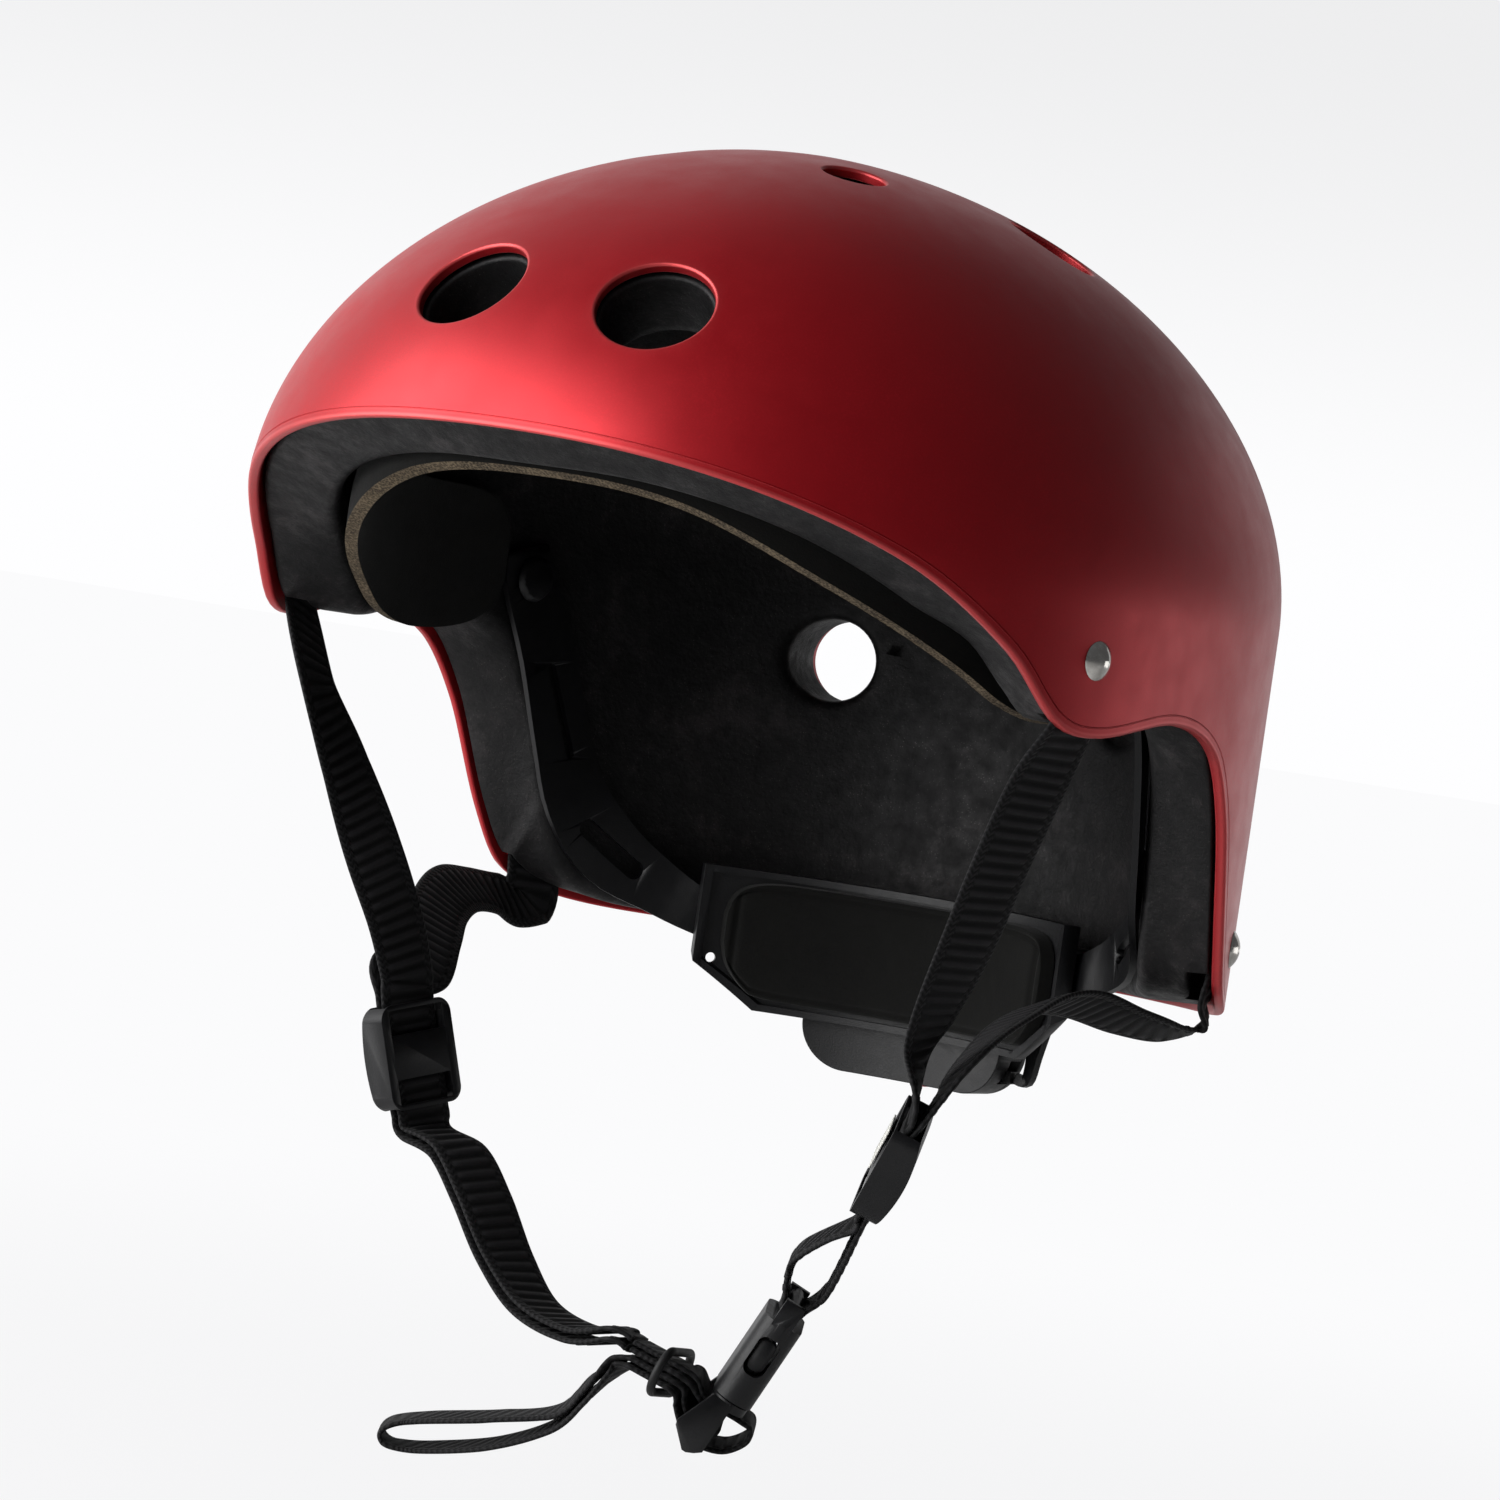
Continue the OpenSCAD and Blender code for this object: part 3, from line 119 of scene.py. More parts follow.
def feed(node, inputs):
    """Gives a node's inputs, by name or in order, constants or links; a node stands for its first output."""
    for name, value in (inputs.items() if isinstance(inputs, dict) else enumerate(inputs)):
        if isinstance(value, bpy.types.Node):
            value = value.outputs[0]
        if isinstance(value, bpy.types.NodeSocket):
            node.id_data.links.new(value, node.inputs[name])
        else:
            node.inputs[name].default_value = value


def add(tree, kind, inputs=(), **settings):
    """Adds a node with its settings and its inputs."""
    node = tree.nodes.new(kind)
    for name, value in settings.items():
        setattr(node, name, value)
    feed(node, inputs)
    return node


def per_mm(size):
    """The scale that makes one cell of a pattern on Object coordinates this many millimetres."""
    return 1 / (size * mm)


print("a middle red in linear light:", [round(v, 3) for v in linear("A80D19")[:3]])

# %% [markdown]
# ## The tent's light
# The helmet hangs in a white tent whose paper is bright behind it and on the left, and dark behind the photographer.
# What the camera sees behind the object is told apart from what lights it: the Light Path node shows the bare paper
# to the camera, shows it to reflections by their direction, and gives a dim grey to everything else. A brighter
# world would be simpler, but it would wash out the dark side of the shell.

# %% World
scene.view_settings.view_transform = "Standard"
world = bpy.data.worlds.new("white_tent")
scene.world = world
world.use_nodes = True
tent = world.node_tree
tent.nodes.clear()
bright_side = (-0.8 * back - 0.6 * right).normalized()
gloss_of_dark_side = 0.08


def shown_share(tree, direction, start, end):
    """The share of the bare paper that a ray sees: all of it from the camera, and by direction in reflections."""
    ray = add(tree, "ShaderNodeLightPath")
    straight = add(tree, "ShaderNodeMath", [ray.outputs["Is Camera Ray"], ray.outputs["Is Transmission Ray"]],
                   operation="MAXIMUM")
    away = add(tree, "ShaderNodeVectorMath", [direction, tuple(bright_side)], operation="DOT_PRODUCT")
    white = add(tree, "ShaderNodeMapRange", [away.outputs["Value"], start, end, gloss_of_dark_side, 1.0],
                interpolation_type="SMOOTHSTEP")
    mirrored = add(tree, "ShaderNodeMath", [ray.outputs["Is Glossy Ray"], white], operation="MULTIPLY")
    return add(tree, "ShaderNodeMath", [straight, mirrored], operation="MAXIMUM")


# The paper is lit brightest at the object's height and falls off towards the ceiling
facing = add(tent, "ShaderNodeTexCoord").outputs["Generated"]
height = add(tent, "ShaderNodeSeparateXYZ", [facing]).outputs["Z"]
brightness = add(tent, "ShaderNodeMapRange", [height, 0.0, 0.09, 1.0, 0.86], interpolation_type="SMOOTHSTEP")
seen = add(tent, "ShaderNodeBackground", [linear("FEFEFF"), brightness])
felt = add(tent, "ShaderNodeBackground", [linear("E6E9F0"), 0.06])
picked = add(tent, "ShaderNodeMixShader", [shown_share(tent, facing, 0.3, 1.0), felt, seen])
add(tent, "ShaderNodeOutputWorld", [picked])
print("world:", len(tent.nodes), "nodes")

# %% [markdown]
# ## Floor and lamps
# A broad soft lamp on the left makes the wide highlight over the brow, a low one lifts the underside, and a thin one
# behind draws the right edge. The floor is white paper that throws light back up and keeps the helmet's shadow.

# %% Floor
def mesh_piece(name, points, faces, material=None, smooth=True):
    """A new object at the origin from points in metres."""
    mesh = bpy.data.meshes.new(name)
    mesh.from_pydata([tuple(p) for p in points], [], faces)
    if material:
        mesh.materials.append(material)
    mesh.shade_smooth() if smooth else mesh.shade_flat()
    piece = bpy.data.objects.new(name, mesh)
    scene.collection.objects.link(piece)
    return piece


paper = bpy.data.materials.new("seamless_white_paper")
paper.use_nodes = True
tree = paper.node_tree
tree.nodes.clear()
place = add(tree, "ShaderNodeTexCoord").outputs["Object"]
reach = add(tree, "ShaderNodeVectorMath", [place], operation="LENGTH").outputs["Value"]
fade = add(tree, "ShaderNodeMapRange", [reach, 0.2, 1.2, 0.86, 1.0], interpolation_type="SMOOTHSTEP")
share = add(tree, "ShaderNodeMath", [shown_share(tree, place, 0.0, 1.5), fade], operation="MULTIPLY")
lit = add(tree, "ShaderNodeBsdfDiffuse", [linear("F0F0F0")])
glow = add(tree, "ShaderNodeEmission", [linear("FBFBFC"), 1.0])
both = add(tree, "ShaderNodeMixShader", [share, lit, glow])
add(tree, "ShaderNodeOutputMaterial", [both])
# The helmet hangs in the photograph, and the released buckle half comes 25 mm lower, so the floor lies well below
floor_gap = 45 * mm
floor_z = cad_box[0][2] - floor_gap
floor_reach = 9.0
corners = [(x * floor_reach, y * floor_reach, floor_z) for x, y in ((-1, -1), (1, -1), (1, 1), (-1, 1))]
floor = mesh_piece("floor", corners, [(0, 1, 2, 3)], paper, smooth=False)
print("floor at", round(floor_z / mm, 1), "mm")

# %% Lamps
# Each lamp's place is to the right, up and towards the camera in metres, then its size and its power in watts
lamps = [("soft_left", -1.2, 0.5, 0.45, 1.7, 50.0), ("low_right", 1.1, -0.45, -0.45, 0.7, 2.3),
         ("rim_right", 0.95, 0.1, -1.25, 0.8, 0.9)]
for name, to_right, to_up, to_camera, size, power in lamps:
    data = bpy.data.lights.new(name, "AREA")
    data.shape = "SQUARE"
    data.size = size
    data.energy = power
    lamp = bpy.data.objects.new(name, data)
    scene.collection.objects.link(lamp)
    lamp.location = camera_x * to_right + camera_y * to_up + camera_z * to_camera
    lamp.rotation_euler = lamp.location.to_track_quat("Z", "Y").to_euler()
print("studio:", len(lamps), "soft lamps")

# %% [markdown]
# ## Materials
# Every finish below is worked out from noise, cells and waves, so it needs no pictures and never runs out at an edge.
# The patterns sit on object coordinates in real millimetres: a foam bead is 2.6 mm wherever it lies.
# A photo texture would be quicker, but it would stretch on the curved shell and fix the light that it was shot in.

# %% Helpers for finishes
def new_finish(name, look):
    """A material with one principled shader; look holds the values that are the same all over the surface."""
    material = bpy.data.materials.new(name)
    material.use_nodes = True
    tree = material.node_tree
    tree.nodes.clear()
    shader = add(tree, "ShaderNodeBsdfPrincipled", look)
    add(tree, "ShaderNodeOutputMaterial", [shader])
    return material, shader, tree, add(tree, "ShaderNodeTexCoord").outputs["Object"]


def noise(tree, where, size, detail=3.0, roughness=0.5):
    return add(tree, "ShaderNodeTexNoise", {
        "Vector": where, "Scale": per_mm(size), "Detail": detail, "Roughness": roughness}).outputs["Fac"]


def cells(tree, where, size, feature="F1", spread=1.0):
    return add(tree, "ShaderNodeTexVoronoi", {"Vector": where, "Scale": per_mm(size), "Randomness": spread},
               feature=feature).outputs["Distance"]


def ramp(tree, share, stops):
    """Colours along a 0 to 1 value; stops are (place, hex) pairs."""
    node = add(tree, "ShaderNodeValToRGB", [share])
    node.color_ramp.interpolation = "EASE"
    while len(node.color_ramp.elements) < len(stops):
        node.color_ramp.elements.new(0.5)
    for element, (spot, code) in zip(node.color_ramp.elements, stops):
        element.position, element.color = spot, linear(code)
    return node


def remap(tree, value, low, high, to_low=0.0, to_high=1.0, **settings):
    return add(tree, "ShaderNodeMapRange", [value, low, high, to_low, to_high], **settings)


def maths(tree, operation, *values):
    return add(tree, "ShaderNodeMath", values, operation=operation)


def weighed(tree, first, first_share, second, second_share=1.0):
    """The sum of two values, each times its share."""
    return maths(tree, "MULTIPLY_ADD", first, first_share, maths(tree, "MULTIPLY", second, second_share))


def painted(tree, shader, tone, roughness, *heights):
    """Ends a finish: its colour, its roughness, and bumps as (height, real depth in mm), the coarsest one first."""
    below = {}
    for height, depth in heights:
        bump = add(tree, "ShaderNodeBump", {"Height": height, "Distance": depth * mm, **below})
        below = {"Normal": bump}
    feed(shader, {"Base Color": tone, "Roughness": roughness, **below})


print("one cell of 2.6 mm is a scale of", round(per_mm(2.6)))

# %% [markdown]
# ## The red shell
# Injection-moulded ABS with a satin metallic paint: a broad soft highlight, fine flakes inside the colour, and a faint
# orange-peel ripple. The flakes are small cells that only vary the roughness and the tone. At the lip and round the
# vents the paint is a little thinner, so the edges are paler there.

# %% Satin metallic paint on moulded ABS
shell_paint, shader, tree, where = new_finish("satin_metallic_red_paint_on_abs", {
    "Metallic": 0.6, "Coat Weight": 0.1, "Coat Roughness": 0.35})
flakes = cells(tree, where, 0.45)
mottle = weighed(tree, flakes, 0.35, noise(tree, where, 55, 2.0), 0.65)
paint = ramp(tree, mottle, [(0.15, "960814"), (0.5, "A80D19"), (0.85, "B5121F")])
worn = add(tree, "ShaderNodeAttribute", attribute_name="worn").outputs["Fac"]
paler = ramp(tree, worn, [(0.0, "000000"), (1.0, "5A3A38")])
tone = add(tree, "ShaderNodeMix", {0: 1.0, 6: paint, 7: paler}, data_type="RGBA", blend_type="ADD").outputs[2]
satin = remap(tree, noise(tree, where, 9, 4.0, 0.6), 0.3, 0.7, 0.33, 0.41)
painted(tree, shader, tone, weighed(tree, flakes, 0.06, satin),
        (noise(tree, where, 3.2, 2.0), 0.012), (flakes, 0.004))
print("finish:", shell_paint.name)

# %% [markdown]
# ## The foam
# The liner is black bead foam with a glazed skin where it touched the mould. The beads hardly show under the skin, so
# they are only a shallow relief, while scuffs and grime vary the tone and the gloss; pale specks in scuffs are painted
# glints.

# %% Expanded black bead foam
bead_foam, shader, tree, where = new_finish("expanded_black_bead_foam", {"Specular IOR Level": 0.22})
tops = remap(tree, cells(tree, where, 2.6, "DISTANCE_TO_EDGE", 0.9), 0.0, 0.2)
glints = cells(tree, where, 0.8)
grime = noise(tree, where, 24, 4.0, 0.6)
scuffs = noise(tree, where, 5, 6.0, 0.72)
skin = ramp(tree, weighed(tree, grime, 0.5, scuffs, 0.5), [(0.35, "060607"), (0.5, "0F0E0F"), (0.66, "242122")])
# Painted glints: pale specks at the middles of the 0.8 mm glint cells, where the scuffs are strong
painted_glint_specks = maths(tree, "MULTIPLY", remap(tree, glints, 0.08, 0.2, 1.0, 0.0), remap(tree, scuffs, 0.4, 0.65, 0.0, 0.8))
skin_with_painted_glints = add(tree, "ShaderNodeMix", {0: painted_glint_specks, 6: skin, 7: linear("4A4744")}, data_type="RGBA").outputs[2]
glaze = remap(tree, scuffs, 0.35, 0.65, 0.62, 0.4)
painted(tree, shader, skin_with_painted_glints, weighed(tree, grime, 0.1, glaze), (tops, 0.012), (scuffs, 0.4), (glints, 0.03))
print("finish:", bead_foam.name)

# %% [markdown]
# ## The dome
# Shell, liner and brow pad all follow one rounded form: a plan outline between an ellipse and a rectangle that shrinks
# towards the crown, with upright walls below the widest level. It could be sculpted or taken from the CAD mesh,
# but a formula gives every point and its exact normal at any fineness, so highlights run without a kink.

# %% The dome's formulas
half_w, front_l, rear_l, crown_h = 107.5, 121.0, 134.0, 91.0
plan_n, side_n = 2.2, 1.92


def curve(keys, x):
    """A smooth curve through (x, value) pairs, level at both ends."""
    keys = np.array(keys, float)
    x = np.asarray(x, float)
    i = np.clip(np.searchsorted(keys[:, 0], x, "right") - 1, 0, len(keys) - 2)
    slopes = np.zeros(len(keys))
    slopes[1:-1] = (keys[2:, 1] - keys[:-2, 1]) / (keys[2:, 0] - keys[:-2, 0])
    w = keys[i + 1, 0] - keys[i, 0]
    s = (x - keys[i, 0]) / w
    return (keys[i, 1] * (1 + 2 * s) * (1 - s) ** 2 + slopes[i] * w * s * (1 - s) ** 2
            + keys[i + 1, 1] * s * s * (3 - 2 * s) - slopes[i + 1] * w * s * s * (1 - s))


def from_front(angle):
    """How far a direction is turned from the front, to either side, in degrees."""
    return np.abs((np.asarray(angle, float) + 180) % 360 - 180)


def plan_reach(angle, inset):
    """The widest outline's distance from the middle, seen from above."""
    a = np.radians(angle)
    length = np.where(np.cos(a) > 0, front_l, rear_l) - inset
    return ((np.abs(np.sin(a)) / (half_w - inset)) ** plan_n + (np.abs(np.cos(a)) / length) ** plan_n) ** (-1 / plan_n)


def level(z, inset):
    """How much of the widest outline is left at a height."""
    share = np.clip(z / (crown_h - inset), 0, 1)
    return (1 - share ** side_n) ** (1 / side_n)


def wall(angle, z, inset):
    """Points of the dome at an angle from the front and a height, in millimetres."""
    angle, z, inset = np.broadcast_arrays(np.asarray(angle, float), np.asarray(z, float), np.asarray(inset, float))
    r = plan_reach(angle, inset) * level(z, inset)
    a = np.radians(angle)
    return np.stack([r * np.sin(a), -r * np.cos(a), z], -1)


def unit(v):
    return v / np.maximum(np.linalg.norm(v, axis=-1, keepdims=True), 1e-12)


def wall_out(p, inset=0.0):
    """The dome's outward normal at points on it."""
    x, y, z = p[..., 0], p[..., 1], p[..., 2]
    w, h = half_w - inset, crown_h - inset
    length = np.where(y < 0, front_l, rear_l) - inset
    q = np.abs(x / w) ** plan_n + np.abs(y / length) ** plan_n
    m = np.maximum(q, 1e-9) ** (side_n / plan_n - 1)
    return unit(np.stack([m * np.abs(x / w) ** (plan_n - 1) * np.sign(x) / w,
                          m * np.abs(y / length) ** (plan_n - 1) * np.sign(y) / length,
                          np.where(z > 0, (np.clip(z / h, 0, None)) ** (side_n - 1) / h, 0)], -1) + [0, 0, 1e-9])


def turn_of(z, inset):
    """The angle from the crown that stands for a height, so that rows are even over the dome and down the wall."""
    h = crown_h - inset
    return np.where(z > 0, np.degrees(np.arccos(np.clip(z / h, -1, 1))), 90 - np.degrees(z / h))


def height_of(turn, inset):
    h = crown_h - inset
    return h * np.where(turn <= 90, np.cos(np.radians(turn)), np.radians(90 - turn))


lobe_z, nape_z = -27.0, -89.5
rim_keys = [(0, 20), (24, 16.5), (45, 5), (60, -11.5), (68, -24.8), (75, -27.2), (92, -22.6), (104, -28.1),
            (111, -42.6), (117.5, -67.5), (122, -80.5), (130, -86.5), (145, -88.9), (180, -89.5)]


def rim_height(angle):
    return curve(rim_keys, from_front(angle))


print("rim height at the front, temple, ear and nape:", rim_height([0, 70, 100, 180]).round(1))

# %% [markdown]
# ## Skins with round vents
# A skin is one closed mesh: an outside and an inside sheet, a rim that joins them, and a bore for every vent. The
# sheets are grids from the pole to the rim. Where a vent comes through, the grid is opened, a true circle is laid on
# the dome, and a small zipper of triangles joins the two. A boolean would be shorter to write, but it leaves slivers
# that spoil the highlight, and its edges can't be rounded cleanly. The shell's normals come from the formulas, not
# from the triangles; the liner's come from its faces.

# %% A skin that grows by rings
near_side = 45  # a bore's axis also meets the far side of the dome, which lies deeper than this


class Skin:
    """Points, normals and wear in millimetres, joined by faces."""

    def __init__(self):
        self.points, self.normals, self.wear, self.faces = [], [], [], []

    def ring(self, points, normals, wear=0.0):
        first = len(self.points)
        self.points.extend(points)
        self.normals.extend(normals)
        self.wear.extend([wear] * len(points))
        return list(range(first, first + len(points)))

    def join(self, ring_a, ring_b):
        n = len(ring_a)
        self.faces.extend((ring_a[i], ring_a[(i + 1) % n], ring_b[(i + 1) % n], ring_b[i]) for i in range(n))

    def rings(self, rows):
        for upper, lower in zip(rows, rows[1:]):
            self.join(upper, lower)

    def zipper(self, jagged, circle, centre, axis, side):
        """Joins two loops that run the same way round an axis: the one that lags takes the next step."""
        turns = []
        for loop in (jagged, circle):
            away = np.array([self.points[i] for i in loop]) - centre
            turns.append(np.arctan2(away @ np.cross(axis, side), away @ side))
        starts = [int(np.argmin(np.abs(turn))) for turn in turns]
        jagged, circle = (loop[s:] + loop[:s] for loop, s in zip((jagged, circle), starts))
        p, q = (np.unwrap(np.roll(turn, -s)) for turn, s in zip(turns, starts))
        p, q = (np.append(turn, turn[0] + 2 * math.pi) for turn in (p, q))
        i = j = 0
        n, m = len(jagged), len(circle)
        while i < n or j < m:
            if j == m or (i < n and p[i + 1] < q[j + 1]):
                self.faces.append((jagged[i], jagged[(i + 1) % n], circle[j % m]))
                i += 1
            else:
                self.faces.append((jagged[i % n], circle[(j + 1) % m], circle[j]))
                j += 1

    def open_round(self, span, centre, axis, side, reach):
        """Takes out a sheet's faces round a bore's axis and gives the edge of the opening, in order."""
        points = np.array(self.points)
        away = points - centre
        along = away @ axis
        off = np.linalg.norm(away - along[:, None] * axis, axis=1)
        number = np.arange(len(points))
        inside = (off < reach) & (along > -near_side) & (number >= span[0]) & (number < span[1])
        opened = [face for face in self.faces if any(inside[v] for v in face)]
        self.faces = [face for face in self.faces if not any(inside[v] for v in face)]
        edges = {(a, b): None for face in opened for a, b in zip(face, face[1:] + face[:1])}
        after = {a: b for a, b in edges if (b, a) not in edges}
        loop = [next(iter(after))]
        while after[loop[-1]] != loop[0] and len(loop) <= len(after):
            loop.append(after[loop[-1]])
        if len(loop) != len(after):
            raise ValueError("the opening's edge isn't one loop")
        p = points[loop] - centre
        turn = np.unwrap(np.arctan2(p @ np.cross(axis, side), p @ side))
        return loop if turn[-1] > turn[0] else loop[::-1]

    def piece(self, name, material, own_normals=True):
        mesh = bpy.data.meshes.new(name)
        work = bmesh.new()
        worn = work.verts.layers.float.new("worn")
        verts = [work.verts.new(np.asarray(p) * mm) for p in self.points]
        for vert, value in zip(verts, self.wear):
            vert[worn] = value
        for face in self.faces:
            work.faces.new([verts[i] for i in face])
        normals = {tuple(v.co): n for v, n in zip(verts, self.normals)} if own_normals else {}
        bmesh.ops.delete(work, geom=[v for v in work.verts if not v.link_faces], context="VERTS")
        bmesh.ops.recalc_face_normals(work, faces=work.faces)
        work.to_mesh(mesh)
        work.free()
        mesh.shade_smooth()
        mesh.materials.append(material)
        if own_normals:
            mesh.normals_split_custom_set_from_vertices([tuple(normals[tuple(v.co)]) for v in mesh.vertices])
        piece = bpy.data.objects.new(name, mesh)
        scene.collection.objects.link(piece)
        return piece


def on_wall(angle, z):
    """Point, normal and sideways direction of the outer dome."""
    p = wall(angle, z, 0)
    out = wall_out(p)
    return p, out, unit(np.cross([0, 0, 1], out))


def drop_to(points, axis, inset):
    """Slides points along an axis until they lie on the dome of an inset."""
    deepest, highest, halvings = -50.0, 14.0, 40
    low, high = np.full(len(points), deepest), np.full(len(points), highest)
    for _ in range(halvings):
        mid = (low + high) / 2
        p = points + mid[:, None] * axis
        angle = np.degrees(np.arctan2(p[:, 0], -p[:, 1]))
        outside = np.hypot(p[:, 0], p[:, 1]) > plan_reach(angle, inset) * level(p[:, 2], inset)
        outside |= p[:, 2] > crown_h - inset
        high, low = np.where(outside, mid, high), np.where(outside, low, mid)
    return points + low[:, None] * axis


# Each vent's angle from the front, height, bore and sideways lean in degrees; every one has a twin on the other hand
vents = [(13.6, 50.6, 25.5, 0), (45, 86.3, 14, 0), (114, 78.4, 22, 0), (150, 52, 25, 0), (161, -21.5, 21, 15)]
bend_steps, bend_degrees, vent_clearance, edge_wear, face_wear = 6, 18, 1.6, 1.0, 0.25


def cut_vents(skin, spans, outside, inside, narrower, outer_round, inner_round, count=64):
    """Opens both sheets at every vent and joins them by a bore; its two edges are rounded by their own radius."""
    around_bore = np.radians(np.arange(count) * 360 / count)
    for angle, z, bore, turn in vents:
        for hand in (-1, 1):
            centre, out, side = on_wall(hand * angle, z)
            lean = math.radians(hand * turn)
            axis = unit(math.sin(lean) * side + math.cos(lean) * out)
            across = unit(side - (side @ axis) * axis)
            up_bore = np.cross(axis, across)
            spokes = np.cos(around_bore)[:, None] * across + np.sin(around_bore)[:, None] * up_bore
            r = (bore - narrower) / 2
            rows = []
            for span, inset, edge, outer in ((spans[0], outside, outer_round, True),
                                             (spans[1], inside, inner_round, False)):
                jagged = skin.open_round(span, centre, axis, across, r + edge + vent_clearance)
                flat = drop_to(centre + spokes * (r + edge), axis, inset)
                face = wall_out(flat, inset) * (1 if outer else -1)
                bend = []
                for k in range(bend_steps):
                    t = math.radians(bend_degrees * k)
                    height = edge * (1 - math.cos(t)) * (-1 if outer else 1)
                    place = flat - spokes * edge * math.sin(t) + axis * height
                    place = drop_to(place, axis, inset) + axis * height if k else flat
                    wear = edge_wear if 0 < k < bend_steps - 1 else face_wear
                    bend.append(skin.ring(place, unit(face * math.cos(t) - spokes * math.sin(t)), wear))
                skin.zipper(jagged, bend[0], centre, axis, across)
                rows.append(bend)
            skin.rings(rows[0] + rows[1][::-1])


# Columns stand 1.5 degrees apart, and twice as close where the rim climbs steeply behind the ears
steep = np.arange(100, 124, 0.75)
columns = np.unique(np.round(np.concatenate([np.arange(0, 360, 1.5), steep, steep + 136]), 3))


def sheet(skin, angles, edge, inset, rows, outer):
    """A grid from the pole down to the edge; gives its rows of point numbers."""
    inset = inset if callable(inset) else (lambda a, z, depth=inset: np.full(np.shape(z), float(depth)))
    base = float(inset(np.array([0.0]), np.array([90.0]))[0])
    sign = 1 if outer else -1
    pole = skin.ring([(0, 0, crown_h - base)], [(0, 0, sign)])[0]
    lines = []
    for i in range(1, rows + 1):
        z = height_of(turn_of(edge, base) * i / rows, base)
        depth = inset(angles, z)
        p = wall(angles, z, depth)
        lines.append(skin.ring(p, wall_out(p, base) * sign))
    n = len(angles)
    skin.faces.extend((pole, lines[0][i], lines[0][(i + 1) % n]) for i in range(n))
    skin.rings(lines)
    return lines


def up_the_wall(points, normals):
    """At each point of a closed rim, the direction in the surface that runs square to the rim, upwards."""
    along = unit(np.roll(points, -1, 0) - np.roll(points, 1, 0))
    up = unit(np.cross(normals, along))
    return up * np.sign(up[:, 2:3])


def sine_cosine(degrees):
    return math.sin(math.radians(degrees)), math.cos(math.radians(degrees))


fine_turns, coarse_turns = range(0, 91, 18), range(0, 91, 30)
print("grid:", len(columns), "columns,", 2 * len(vents), "vents")

# %% [markdown]
# ## The shell
# The lip is a separate run of rings square to the rim, so its rounding stays even where the rim climbs steeply round
# the ear. A shallow groove runs 2.4 mm above the lip, where the mould parts.

# %% Shell
shell_t, lip_h, shell_rows = 2.4, 6.5, 84
shell = Skin()
edge = rim_height(columns)
outer_rows = sheet(shell, columns, edge + lip_h, 0.0, shell_rows, True)
middle = len(shell.points)
inner_rows = sheet(shell, columns, edge + lip_h, shell_t, shell_rows, False)
cut_vents(shell, [(0, middle), (middle, len(shell.points))], 0.0, shell_t, narrower=0.0,
          outer_round=0.8, inner_round=0.3)
lip_out = wall(columns, edge, 0)
lip_in = wall(columns, edge, shell_t)
face = wall_out(lip_out)
up_rim = up_the_wall(lip_out, face)


def lip_ring(height, depth, tilt, wear):
    """A ring at a height above the lip and a depth from the outside, facing outwards at tilt 0 and inwards at 180."""
    t = math.radians(tilt)
    place = lip_out + (lip_in - lip_out) * depth / shell_t + up_rim * height
    return shell.ring(place, unit(face * math.cos(t) - up_rim * math.sin(t)), wear)


outer_round, inner_round = 0.9, 0.6
# Height, depth, tilt and wear of the rings down the outside, with the groove between 2.6 and 2.1 mm
lip = [lip_ring(*ring) for ring in ((3.0, 0, 0, 0), (2.6, 0, 0, 0.15), (2.5, 0.14, -40, 0.1), (2.35, 0.2, 0, 0),
                                    (2.2, 0.14, 40, 0.5), (2.1, 0, 0, 0.3), (1.4, 0, 0, 0.1))]
for t in fine_turns:
    s, c = sine_cosine(t)
    lip.append(lip_ring(outer_round * (1 - s), outer_round * (1 - c), t, 0.9))
for t in coarse_turns:
    s, c = sine_cosine(t)
    lip.append(lip_ring(inner_round * (1 - c), shell_t - inner_round * (1 - s), 90 + t, 0.3))
lip.append(lip_ring(3.0, shell_t, 180, 0))
shell.rings([outer_rows[-1]] + lip + [inner_rows[-1]])
shell_piece = shell.piece("shell_moulded", shell_paint)
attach(shell_piece, "helmet")
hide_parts("outer_shell")
print("shell:", len(shell_piece.data.polygons), "faces")

# %% [markdown]
# ## The foam liner
# The liner is the same kind of skin, 17 mm thick. Its underside slopes at the brow and its inner edge is soft, as foam
# leaves a mould. Four channels in its outside carry the webbing: there the outer sheet simply steps inwards between two
# pairs of close columns.

# %% Liner
liner_out, liner_in, liner_lift = 3.25, 20.25, 2.0
foot_round, inner_foot_round, outer_edge_h, inner_edge_h, slope_h = 1.2, 3.5, 7, 9, 9
rivets = [(73.4, -10.7), (126, -71.6)]
channel_deep, channel_half, channel_over, channel_run_out = 4.8, 8.7, 13, 3
slope_keys = [(0, 1.1), (15, 1), (35, 0.9), (50, 0.75), (59, 0.1), (67, -0.35), (73, 0), (180, 0)]
ear_keys = [(0, 0), (90, 0), (103, 5), (118, 6), (140, 0), (180, 0)]
channels = [(angle % 360, z, math.degrees(channel_half / plan_reach(angle, 0))) for a, z in rivets for angle in (a, -a)]
channel_wall, free_of_wall = 0.08, 0.35
steps = [centre + s * (half + e) for centre, _, half in channels
         for s in (-1, 1) for e in (-channel_wall, channel_wall)]
liner_columns = np.array(sorted([c for c in columns if min(abs(c - s) for s in steps) > free_of_wall] + steps))


def liner_outside(angles, z):
    depth = np.full(np.shape(z), liner_out)
    for centre, rivet_z, half in channels:
        within = np.abs(angles - centre) < half
        depth = depth + channel_deep * within * np.clip((rivet_z + channel_over - z) / channel_run_out, 0, 1)
    return depth


def liner_edge(angles):
    """Heights of the outer and the inner edge of the liner's underside."""
    low = rim_height(angles) + liner_lift
    turned = from_front(angles) - curve(ear_keys, from_front(angles))
    return low, curve(rim_keys, turned) + liner_lift - slope_h * curve(slope_keys, from_front(angles))


